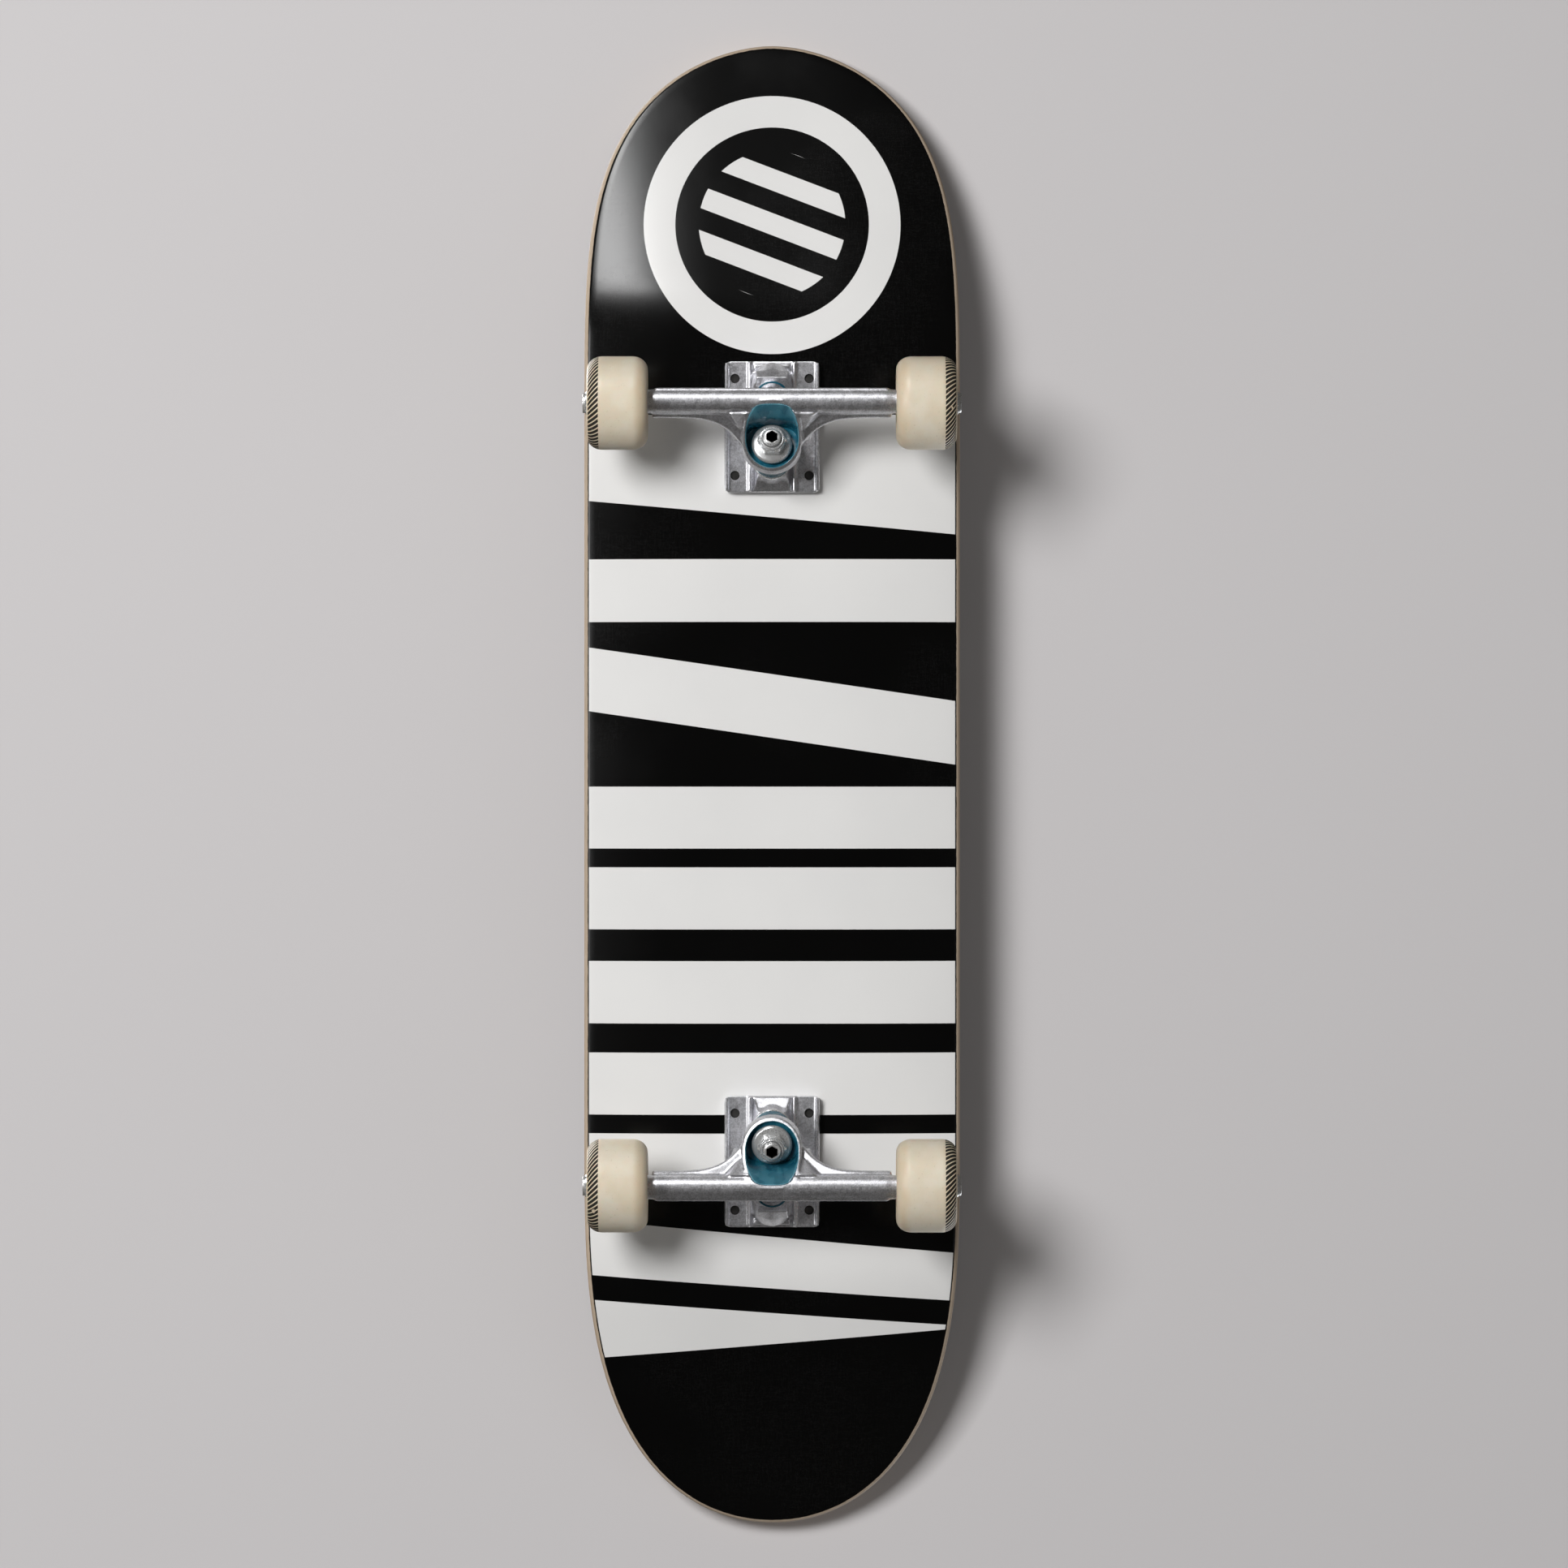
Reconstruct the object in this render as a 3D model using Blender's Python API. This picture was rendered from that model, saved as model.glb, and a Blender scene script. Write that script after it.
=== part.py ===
# Skateboard: a seven-ply deck with grip tape, two cast trucks and four urethane wheels.
# It stands on its wheels. +X points at the nose, +Y is across the deck, +Z is up, and the
# origin is on the floor below the middle of the deck.
import bmesh
import bpy
from math import cos, pi, radians, sin, sqrt, tan
from mathutils import Matrix, Vector

mm = 0.001

# Clearances
touch_gap = 0.3 * mm            # between pieces that touch on the real object
bore_gap = 0.4 * mm             # between a shaft and the bore it passes through
cutter_reach = 5.0 * mm         # how far a cutter runs out past what it cuts

# Deck
deck_length = 831.0 * mm
deck_width = 209.0 * mm
deck_thickness = 11.0 * mm
edge_radius = 4.0 * mm          # the rounded-over edge of the plywood
taper_start = 200.0 * mm        # from the middle of the deck to where the ends start
nose_long_power, nose_wide_power = 4.06, 1.83
tail_long_power, tail_wide_power = 3.16, 2.07
kick_angle = radians(20.0)
kick_radius = 120.0 * mm
kick_margin = 12.0 * mm         # flat deck left outside the outer bolts
concave_rise = 8.5 * mm
concave_power = 1.9
flat_half_width = 31.0 * mm     # the flat strip that the baseplates need
kick_concave_share = 0.55       # how much of the concave is left at the tips
grip_thickness = 0.7 * mm

# Wheels
wheel_radius = 26.0 * mm
wheel_width = 33.5 * mm
tread_width = 16.5 * mm
wheel_side_radius = 18.5 * mm
wheel_segments = 24
wheel_offset = 85.25 * mm       # from the middle of the board to the middle of a wheel
bearing_radius = 11.0 * mm
bearing_width = 7.0 * mm
bearing_land = 5.4 * mm         # half the wall that keeps the two bearings of a wheel apart
shield_thickness = 0.5 * mm
race_wall = 1.5 * mm
inner_race_radius = 6.0 * mm
spacer_wall = 1.2 * mm
land_radius = 9.5 * mm
shield_bore_gap = 0.7 * mm      # between the inner race and the shields
wheel_bore_chamfer = 2.4 * mm

# Axles
axle_radius = 3.97 * mm
axle_length = 209.0 * mm
axle_nut_flats = 12.7 * mm
axle_nut_height = 5.6 * mm
axle_chamfer = 0.6 * mm
washer_space = 0.8 * mm         # room for a speed washer

# Trucks
truck_height = 53.0 * mm        # from the underside of the deck to the axle
front_truck_x = 198.8 * mm
rear_truck_x = -210.3 * mm
bolt_spacing_long = 54.0 * mm
bolt_spacing_wide = 41.3 * mm
bolt_radius = 2.3 * mm
bolt_head_radius = 4.6 * mm
bolt_head_depth = 3.2 * mm
bolt_recess = 1.2 * mm          # how far the bolt's end stays inside the baseplate
base_length = 73.0 * mm
base_width = 53.0 * mm
base_thickness = 5.8 * mm
base_corner = 3.0 * mm
base_block_width = 24.0 * mm
base_shoulder = 9.0 * mm        # the depth of the block where it starts at the plate's ends
housing_shoulder = (4.0 * mm, 7.0 * mm)     # outboard of and above the housing's outer lip
boss_root = 6.0 * mm            # along the kingpin, where the round boss starts
axle_outboard = 11.3 * mm       # from the middle of the bolt pattern to the axle

# Kingpin stack, measured along the kingpin from the underside of the deck
kingpin_lean = radians(17.0)
kingpin_foot_x = -24.2 * mm
kingpin_radius = 4.76 * mm
kingpin_head_radius = 7.6 * mm
kingpin_head_start = 3.6 * mm
kingpin_head_height = 5.0 * mm
kingpin_wall = 5.1 * mm         # the baseplate between the head and the board-side washer
washer_thickness = 1.2 * mm
washer_lip = 2.0 * mm
washer_lip_wall = 0.84 * mm
board_washer_radius = 10.6 * mm
road_washer_radius = 11.2 * mm
board_bushing_height = 13.7 * mm
board_bushing_radius = 11.0 * mm
ring_floor = 5.2 * mm           # the wall of the hanger between its two bushing seats
ring_radius = 18.0 * mm
ring_board_lip = 2.3 * mm
seat_cut = 20.0 * mm            # how far the seat's cutter runs on past the kingpin
ring_road_lip = 8.0 * mm
road_seat_radius = 15.5 * mm
road_bushing_height = 10.7 * mm
road_bushing_top_radius = 9.9 * mm
road_bushing_flange = 6.2 * mm  # height of its outer wall
road_bushing_dish = 3.6 * mm    # height of the dish inside that wall
bushing_bevel = 1.0 * mm
kingpin_nut_flats = 14.3 * mm
kingpin_nut_height = 7.5 * mm
kingpin_end = 2.7 * mm          # how far the kingpin stands out of its nut
kingpin_socket_radius = 2.4 * mm
kingpin_socket_depth = 9.0 * mm
kingpin_chamfer = 0.7 * mm

# Hanger
hanger_bar_radius = 7.6 * mm
hanger_end_radius = 6.6 * mm
hanger_web_reach = 66.0 * mm
web_span = 50.0 * mm            # from the web's end to where its edge has run in by web_depth
web_depth = 15.5 * mm
web_power = 3.3
web_root = 8.1 * mm             # from the axle to the web's edge at its ends
web_low = (2.0 * mm, 8.0 * mm)  # the web's road side above the axle, at its ends and what it climbs
web_high = (8.0 * mm, 12.0 * mm)
web_middle = 16.0 * mm          # the last section before the ring
ring_seat_gap = 0.6 * mm        # round the board-side bushing
narrow_margin = 2.0 * mm        # the bar narrows this far before the wheel
# the flat wall that keeps the seat clear of the axle, as (X, Z) from the axle's centre
seat_guard = ((-8.5 * mm, 7.0 * mm), (-2.5 * mm, -7.3 * mm), (0.0, -13.0 * mm),
              (36.0 * mm, -13.0 * mm), (36.0 * mm, 9.0 * mm), (-7.6 * mm, 9.0 * mm))
neck_root_radius = 9.5 * mm
neck_root = 26.0 * mm           # from the ball's centre to the neck's full width
neck_length = 33.0 * mm
kingpin_hole_radius = 7.2 * mm

# Pivot
pivot_x = 22.5 * mm             # centre of the ball, outboard of the bolt pattern's middle
pivot_depth = 14.0 * mm         # below the underside of the deck
pivot_slope = radians(55.0)     # the neck's angle to the deck
pivot_ball_radius = 5.4 * mm
pivot_cup_wall = 1.5 * mm       # at the mouth
pivot_cup_height = 9.0 * mm     # from the ball's centre to the mouth
pivot_cup_floor = 7.6 * mm      # from the ball's centre to the closed end
pivot_mouth_radius = 7.3 * mm
pivot_throat = 0.6 * mm         # from the ball's centre to where the mouth starts to open
pivot_housing_wall = 2.6 * mm

# Worked out from the values above
axle_height = wheel_radius * cos(pi / wheel_segments)
deck_underside = axle_height + truck_height
half_length = deck_length / 2
half_width = deck_width / 2
road = Vector((sin(kingpin_lean), 0, -cos(kingpin_lean)))
across = Vector((cos(kingpin_lean), 0, sin(kingpin_lean)))
kingpin_foot = Vector((kingpin_foot_x, 0, 0))
boss_face = kingpin_head_start + kingpin_head_height + touch_gap + kingpin_wall
board_washer_start = boss_face + touch_gap
board_bushing_start = board_washer_start + washer_thickness + touch_gap
ring_floor_start = board_bushing_start + board_bushing_height + touch_gap
road_bushing_start = ring_floor_start + ring_floor + touch_gap
road_washer_start = road_bushing_start + road_bushing_height + touch_gap
kingpin_nut_start = road_washer_start + washer_thickness + touch_gap
kingpin_tip = kingpin_nut_start + kingpin_nut_height + kingpin_end
ring_centre = kingpin_foot + road * (ring_floor_start + ring_floor / 2)
axle_centre = Vector((axle_outboard, 0, -truck_height))
pivot_centre = Vector((pivot_x, 0, -pivot_depth))
pivot_down = Vector((-cos(pivot_slope), 0, -sin(pivot_slope)))
pivot_side = Vector((sin(pivot_slope), 0, -cos(pivot_slope)))
cup_outer_radius = pivot_mouth_radius + pivot_cup_wall
housing_radius = cup_outer_radius + pivot_housing_wall
bearing_centre = bearing_land + bearing_width / 2
wheel_clear = bearing_land + bearing_width + washer_space + touch_gap
hanger_end = wheel_offset - wheel_clear
shaft_bore = axle_radius + bore_gap


def start_empty():
    for thing in list(bpy.data.objects):
        bpy.data.objects.remove(thing)


def material(name, color, roughness, metallic=0.0):
    made = bpy.data.materials.new(name)
    made.use_nodes = True
    shader = made.node_tree.nodes["Principled BSDF"]
    shader.inputs["Base Color"].default_value = (*color, 1.0)
    shader.inputs["Roughness"].default_value = roughness
    shader.inputs["Metallic"].default_value = metallic
    return made


def add_object(name, bm):
    bmesh.ops.recalc_face_normals(bm, faces=bm.faces)
    mesh = bpy.data.meshes.new(name)
    bm.to_mesh(mesh)
    bm.free()
    made = bpy.data.objects.new(name, mesh)
    bpy.context.collection.objects.link(made)
    return made


def finish(thing, finish_material, sharp_angle=35.0):
    thing.data.materials.clear()
    thing.data.materials.append(finish_material)
    thing.data.shade_smooth()
    thing.data.set_sharp_from_angle(angle=radians(sharp_angle))
    return thing


def place(thing, parent, location=(0, 0, 0), rotation=(0, 0, 0)):
    thing.parent = parent
    thing.location = location
    thing.rotation_euler = rotation
    return thing


def empty(name, parent, location, rotation=(0, 0, 0)):
    made = bpy.data.objects.new(name, None)
    bpy.context.collection.objects.link(made)
    return place(made, parent, location, rotation)


def turned(name, profile, segments):
    """A solid of revolution about local Z. The profile is (radius, height) pairs: it starts and
    ends on the axis for a solid piece, and is closed round for a ring."""
    bm = bmesh.new()
    angles = [2 * pi * (step + 0.5) / segments for step in range(segments)]
    rings = []
    for radius, height in profile:
        if radius == 0:
            rings.append([bm.verts.new((0, 0, height))] * segments)
        else:
            rings.append([bm.verts.new((radius * cos(a), radius * sin(a), height)) for a in angles])
    pairs = list(zip(rings, rings[1:]))
    if profile[0][0] > 0:
        pairs.append((rings[-1], rings[0]))
    for lower, upper in pairs:
        for step in range(segments):
            after = (step + 1) % segments
            corners = (lower[step], lower[after], upper[after], upper[step])
            bm.faces.new(list(dict.fromkeys(corners)))
    return add_object(name, bm)


def tube_profile(inner, outer, start, end):
    return [(inner, start), (outer, start), (outer, end), (inner, end)]


def rod_profile(radius, start, end):
    return [(0, start), (radius, start), (radius, end), (0, end)]


def prism(name, outline, half_depth):
    """An outline in X and Z, extruded along Y."""
    bm = bmesh.new()
    near = [bm.verts.new((x, -half_depth, z)) for x, z in outline]
    far = [bm.verts.new((x, half_depth, z)) for x, z in outline]
    bm.faces.new(near)
    bm.faces.new(list(reversed(far)))
    for step in range(len(outline)):
        after = (step + 1) % len(outline)
        bm.faces.new((near[step], near[after], far[after], far[step]))
    return add_object(name, bm)


def combine(target, tool, operation):
    """Applies a Boolean of target and tool, and removes the tool."""
    modifier = target.modifiers.new(operation.lower(), "BOOLEAN")
    modifier.operation = operation
    modifier.object = tool
    modifier.solver = "EXACT"
    bpy.context.view_layer.update()
    graph = bpy.context.evaluated_depsgraph_get()
    mesh = bpy.data.meshes.new_from_object(target.evaluated_get(graph))
    target.modifiers.clear()
    target.data = mesh
    bpy.data.objects.remove(tool)
    return target


def aim(thing, start, direction):
    """Turns a piece made along Z so that it points along a direction in the X-Z plane."""
    turn = Matrix.Rotation(direction.angle(Vector((0, 0, 1))) * (1 if direction.x >= 0 else -1), 4, "Y")
    thing.data.transform(Matrix.Translation(start) @ turn)
    return thing


def along_kingpin(name, profile, segments):
    return aim(turned(name, profile, segments), kingpin_foot, road)


def along_axle(thing):
    thing.data.transform(Matrix.Rotation(-pi / 2, 4, "X"))
    return thing


def hex_nut(name, flats, start, end, bore):
    corner = flats / 2 / cos(pi / 6)
    chamfer = corner - flats / 2
    profile = [(0, start), (corner, start), (corner, end - chamfer), (flats / 2, end), (0, end)]
    nut = turned(name, profile, 6)
    return combine(nut, turned("nut_bore", rod_profile(bore, start - mm, end + mm), 16), "DIFFERENCE")


# --- Deck and grip tape ---


def end_half_width(x):
    """Half the deck's width at x: straight sides, then a superellipse at each end."""
    long_power = nose_long_power if x > 0 else tail_long_power
    wide_power = nose_wide_power if x > 0 else tail_wide_power
    share = max(0.0, abs(x) - taper_start) / (half_length - taper_start)
    return half_width * max(0.0, 1 - share ** long_power) ** (1 / wide_power)


def deck_outline(end_steps=12, middle_steps=4):
    """Closed outline, from the nose along +Y to the tail and back along -Y."""
    span = half_length - taper_start
    end_xs = [taper_start + span * sin(pi / 2 * step / end_steps) for step in range(end_steps, 0, -1)]
    middle_xs = [taper_start * (1 - 2 * step / middle_steps) for step in range(middle_steps + 1)]
    xs = end_xs + middle_xs + [-x for x in reversed(end_xs)]
    side = [(x, end_half_width(x)) for x in xs]
    return side + [(x, -y) for x, y in reversed(side[1:-1])]


def inset_outline(outline, distance):
    inset = []
    count = len(outline)
    for step, (x, y) in enumerate(outline):
        before, after = outline[step - 1], outline[(step + 1) % count]
        run = Vector((after[0] - before[0], after[1] - before[1])).normalized()
        inset.append((x + run.y * -distance, y + run.x * distance))
    return inset


def toward_spine(x, y, share):
    """Moves an outline point towards the deck's spine; share is 1 on the outline and 0 on the spine."""
    spine_end = half_length - half_width
    held = max(-spine_end, min(spine_end, x))
    return held + (x - held) * share, y * share


def kick_rise(x):
    truck_x = front_truck_x if x > 0 else rear_truck_x
    bend = abs(truck_x) + bolt_spacing_long / 2 + kick_margin
    past = abs(x) - bend
    arc = kick_radius * sin(kick_angle)
    if past <= 0:
        return 0.0
    if past < arc:
        return kick_radius - sqrt(kick_radius ** 2 - past ** 2)
    return kick_radius * (1 - cos(kick_angle)) + (past - arc) * tan(kick_angle)


def concave(x, y):
    fade = max(0.0, abs(x) - taper_start) / (half_length - taper_start)
    share = max(0.0, abs(y) - flat_half_width) / (half_width - flat_half_width)
    return concave_rise * share ** concave_power * (1 - (1 - kick_concave_share) * fade)


def deck_point(x, y, offset):
    """A point at a distance off the deck's middle surface, measured along its normal."""
    middle = deck_underside + deck_thickness / 2
    step = 0.5 * mm
    slope_x = (kick_rise(x + step) - kick_rise(x - step)
               + concave(x + step, y) - concave(x - step, y)) / (2 * step)
    slope_y = (concave(x, y + step) - concave(x, y - step)) / (2 * step)
    normal = Vector((-slope_x, -slope_y, 1)).normalized()
    return Vector((x, y, middle + kick_rise(x) + concave(x, y))) + normal * offset


def deck_shell(name, sections):
    """Each section is (share of the way out from the spine, inset from the outline, offset)."""
    outline = deck_outline()
    bm = bmesh.new()
    rings = []
    for share, inset, offset in sections:
        ring = [toward_spine(x, y, share) for x, y in inset_outline(outline, inset)]
        rings.append([bm.verts.new(deck_point(x, y, offset)) for x, y in ring])
    for inner, outer in zip(rings, rings[1:]):
        for step in range(len(outline)):
            after = (step + 1) % len(outline)
            bm.faces.new((inner[step], inner[after], outer[after], outer[step]))
    bmesh.ops.remove_doubles(bm, verts=bm.verts, dist=0.005 * mm)
    bmesh.ops.triangulate(bm, faces=bm.faces)
    return add_object(name, bm)


def bolt_places(truck_x):
    return [(truck_x + side_x * bolt_spacing_long / 2, side_y * bolt_spacing_wide / 2)
            for side_x in (1, -1) for side_y in (-1, 1)]


def bolt_cutter():
    top = deck_thickness + touch_gap + grip_thickness
    wide = bolt_head_radius + touch_gap
    narrow = bolt_radius + touch_gap
    profile = [(0, -mm), (narrow, -mm), (narrow, top - bolt_head_depth - touch_gap),
               (wide, top), (wide, top + mm), (0, top + mm)]
    return turned("bolt_cutter", profile, 12)


def drill_bolts(thing):
    for truck_x in (front_truck_x, rear_truck_x):
        for x, y in bolt_places(truck_x):
            cutter = bolt_cutter()
            cutter.data.transform(Matrix.Translation((x, y, deck_underside)))
            combine(thing, cutter, "DIFFERENCE")
    return thing


def make_deck(wood):
    face = deck_thickness / 2
    shares = (0.0, 0.3, 0.55, 0.78, 1.0)
    rounding = [(1.0, edge_radius * (1 - sin(a)), face - edge_radius * (1 - cos(a)))
                for a in (radians(30), radians(60), radians(90))]
    top = [(share, edge_radius, face) for share in shares] + rounding
    bottom = [(share, inset, -offset) for share, inset, offset in reversed(top)]
    return finish(drill_bolts(deck_shell("deck", top + bottom)), wood, 50.0)


def make_grip_tape(grit):
    low = deck_thickness / 2 + touch_gap
    high = low + grip_thickness
    shares = (0.0, 0.3, 0.55, 0.78, 1.0)
    top = [(share, edge_radius, high) for share in shares]
    bottom = [(share, edge_radius, low) for share in reversed(shares)]
    return finish(drill_bolts(deck_shell("grip_tape", top + bottom)), grit, 50.0)


# --- Truck pieces, made in the truck's own frame: origin at the middle of the bolt pattern on the
# underside of the deck, +X outboard, +Z up into the deck ---


def make_mounting_bolt(name, steel):
    top = deck_thickness + touch_gap + grip_thickness
    end = -(touch_gap + base_thickness - bolt_recess)
    neck = top - bolt_head_depth
    profile = [(0, end), (bolt_radius, end), (bolt_radius, neck), (bolt_head_radius, top - 0.3 * mm),
               (bolt_head_radius, top), (0, top)]
    return finish(turned(name, profile, 12), steel)


def make_baseplate(name, cast):
    bm = bmesh.new()
    bmesh.ops.create_cube(bm, size=1.0)
    bmesh.ops.scale(bm, verts=bm.verts, vec=(base_length, base_width, base_thickness))
    bmesh.ops.translate(bm, verts=bm.verts, vec=(0, 0, -touch_gap - base_thickness / 2))
    upright = [edge for edge in bm.edges if abs(edge.verts[0].co.z - edge.verts[1].co.z) > mm]
    bmesh.ops.bevel(bm, geom=upright, offset=base_corner, segments=3, affect="EDGES", profile=0.5)
    plate = add_object(name, bm)

    # the block on its middle: pivot housing outboard, kingpin boss inboard
    half = base_length / 2
    mouth = pivot_centre + pivot_down * pivot_cup_height
    outer_lip = mouth + pivot_side * housing_radius
    inner_lip = mouth - pivot_side * housing_radius
    boss = kingpin_foot + road * boss_face
    boss_half = board_washer_radius + touch_gap
    boss_out = boss + across * boss_half
    boss_in = boss - across * boss_half
    low = -touch_gap - base_thickness / 2
    outline = [(half - mm, low), (half - mm, -base_shoulder),
               (outer_lip.x + housing_shoulder[0], outer_lip.z + housing_shoulder[1]),
               (outer_lip.x, outer_lip.z), (inner_lip.x, inner_lip.z),
               (boss_out.x, boss_out.z), (boss_in.x, boss_in.z), (mm - half, -base_shoulder), (mm - half, low)]
    combine(plate, prism("base_block", outline, base_block_width / 2), "UNION")
    boss_round = along_kingpin("boss_round", rod_profile(board_washer_radius, boss_root, boss_face), 24)
    combine(plate, boss_round, "UNION")

    # the hollows in it
    head_radius = kingpin_head_radius + touch_gap
    head_end = kingpin_head_start + kingpin_head_height + touch_gap
    head_hollow = along_kingpin("head_hollow", rod_profile(head_radius, -cutter_reach, head_end), 20)
    combine(plate, head_hollow, "DIFFERENCE")
    shank = along_kingpin("shank", rod_profile(kingpin_radius + bore_gap, 0, boss_face + cutter_reach), 16)
    combine(plate, shank, "DIFFERENCE")
    cup_radius = cup_outer_radius + touch_gap
    cup_seat = turned("cup_seat", rod_profile(cup_radius, -pivot_cup_floor - touch_gap,
                                              pivot_cup_height + cutter_reach), 20)
    combine(plate, aim(cup_seat, pivot_centre, pivot_down), "DIFFERENCE")
    for x, y in bolt_places(0.0):
        hole = turned("bolt_hole", rod_profile(bolt_radius + touch_gap, -base_thickness - cutter_reach, mm), 12)
        hole.data.transform(Matrix.Translation((x, y, 0)))
        combine(plate, hole, "DIFFERENCE")
    return finish(plate, cast)


def make_pivot_cup(name, urethane):
    ball = pivot_ball_radius + touch_gap
    profile = [(0, -pivot_cup_floor), (cup_outer_radius, -pivot_cup_floor),
               (cup_outer_radius, pivot_cup_height), (pivot_mouth_radius, pivot_cup_height),
               (ball, pivot_throat)]
    profile += [(ball * cos(a), -ball * sin(a)) for a in (radians(15), radians(45), radians(72))]
    profile += [(0, -ball)]
    return finish(aim(turned(name, profile, 16), pivot_centre, pivot_down), urethane)


def web_edge(y):
    """The inboard edge of the hanger's web, in plan."""
    share = (hanger_web_reach - abs(y)) / web_span
    return axle_outboard - web_root - web_depth * max(0.0, share) ** web_power


def make_web():
    reach = hanger_web_reach
    side = [reach * share for share in (1.0, 0.82, 0.67, 0.53, 0.42, 0.33)] + [web_middle]
    stations = side + [-y for y in reversed(side)]
    bm = bmesh.new()
    loops = []
    for y in stations:
        edge = max(web_edge(y), ring_centre.x + mm)
        drop = (axle_centre.x - web_root - edge) / web_depth
        road_z = axle_centre.z + web_low[0] + web_low[1] * drop
        board_z = axle_centre.z + web_high[0] + web_high[1] * drop
        corners = ((axle_centre.x, axle_centre.z), (edge, road_z), (edge, board_z),
                   (axle_centre.x, axle_centre.z + hanger_end_radius))
        loops.append([bm.verts.new((x, y, z)) for x, z in corners])
    for here, there in zip(loops, loops[1:]):
        for step in range(4):
            after = (step + 1) % 4
            bm.faces.new((here[step], here[after], there[after], there[step]))
    bm.faces.new(loops[0])
    bm.faces.new(list(reversed(loops[-1])))
    return add_object("web", bm)


def make_hanger(name, cast):
    narrow_from = wheel_offset - wheel_width / 2 - narrow_margin
    bar_half = [(hanger_bar_radius, narrow_from - mm), (hanger_end_radius, narrow_from),
                (hanger_end_radius, hanger_end)]
    profile = [(0, -hanger_end)] + [(r, -y) for r, y in reversed(bar_half)] + bar_half + [(0, hanger_end)]
    hanger = along_axle(turned(name, profile, 20))
    hanger.data.transform(Matrix.Translation(axle_centre))
    combine(hanger, make_web(), "UNION")
    ring_start = ring_floor_start - ring_board_lip
    ring_end = ring_floor_start + ring_floor + ring_road_lip
    combine(hanger, along_kingpin("ring", rod_profile(ring_radius, ring_start, ring_end), 24), "UNION")
    neck = [(0, -pivot_ball_radius)]
    neck += [(pivot_ball_radius * cos(a), -pivot_ball_radius * sin(a)) for a in (radians(60), radians(28), 0)]
    neck += [(pivot_ball_radius, pivot_cup_height), (neck_root_radius, neck_root),
             (neck_root_radius, neck_length), (0, neck_length)]
    combine(hanger, aim(turned("neck", neck, 16), pivot_centre, pivot_down), "UNION")

    # the road-side seat, kept clear of the axle by a flat wall
    seat_start = ring_floor_start + ring_floor
    seat = along_kingpin("seat", rod_profile(road_seat_radius, seat_start, kingpin_tip + seat_cut), 24)
    outline = [(axle_centre.x + x, axle_centre.z + z) for x, z in seat_guard]
    guard = prism("guard", outline, 2 * ring_radius)
    combine(seat, guard, "DIFFERENCE")
    combine(hanger, seat, "DIFFERENCE")
    board_seat = along_kingpin("board_seat", rod_profile(board_bushing_radius + ring_seat_gap,
                                                         ring_start - cutter_reach, ring_floor_start), 24)
    combine(hanger, board_seat, "DIFFERENCE")
    hole = along_kingpin("kingpin_hole", rod_profile(kingpin_hole_radius, ring_start - cutter_reach,
                                                     seat_start + cutter_reach), 20)
    combine(hanger, hole, "DIFFERENCE")
    bore = along_axle(turned("axle_bore", rod_profile(shaft_bore, -hanger_end - mm, hanger_end + mm), 16))
    bore.data.transform(Matrix.Translation(axle_centre))
    combine(hanger, bore, "DIFFERENCE")
    hanger.data.transform(Matrix.Translation(-ring_centre))
    return finish(hanger, cast)


def make_axle(name, steel):
    half = axle_length / 2
    profile = [(0, -half), (axle_radius - axle_chamfer, -half), (axle_radius, axle_chamfer - half),
               (axle_radius, half - axle_chamfer), (axle_radius - axle_chamfer, half), (0, half)]
    return finish(along_axle(turned(name, profile, 16)), steel)


def make_kingpin(name, steel):
    head_end = kingpin_head_start + kingpin_head_height
    profile = [(0, kingpin_head_start), (kingpin_head_radius, kingpin_head_start),
               (kingpin_head_radius, head_end), (kingpin_radius, head_end),
               (kingpin_radius, kingpin_tip - kingpin_chamfer), (kingpin_radius - kingpin_chamfer, kingpin_tip),
               (kingpin_socket_radius, kingpin_tip),
               (kingpin_socket_radius, kingpin_tip - kingpin_socket_depth),
               (0, kingpin_tip - kingpin_socket_depth)]
    return finish(along_kingpin(name, profile, 16), steel)


def make_cup_washer(name, steel, radius, start, lip_side):
    """A dished washer; lip_side is 1 when its lip points at the road and -1 at the board."""
    bore = kingpin_radius + bore_gap
    far = start + washer_thickness
    flat, lip = (far, far + washer_lip) if lip_side > 0 else (start, start - washer_lip)
    back = start if lip_side > 0 else far
    profile = [(bore, back), (radius, back), (radius, lip), (radius - washer_lip_wall, lip),
               (radius - washer_lip_wall, flat), (bore, flat)]
    return finish(along_kingpin(name, profile, 16), steel)


def make_board_bushing(name, urethane):
    start = board_bushing_start
    end = start + board_bushing_height
    inner_lip = board_washer_radius - washer_lip_wall - touch_gap
    narrow = min(board_bushing_radius, inner_lip)
    bevel = bushing_bevel
    profile = [(kingpin_radius + bore_gap, start), (narrow - bevel, start), (narrow, start + bevel),
               (narrow, start + washer_lip), (board_bushing_radius, start + washer_lip + bevel),
               (board_bushing_radius, end - bevel),
               (board_bushing_radius - bevel, end), (kingpin_radius + bore_gap, end)]
    return finish(along_kingpin(name, profile, 20), urethane)


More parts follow.
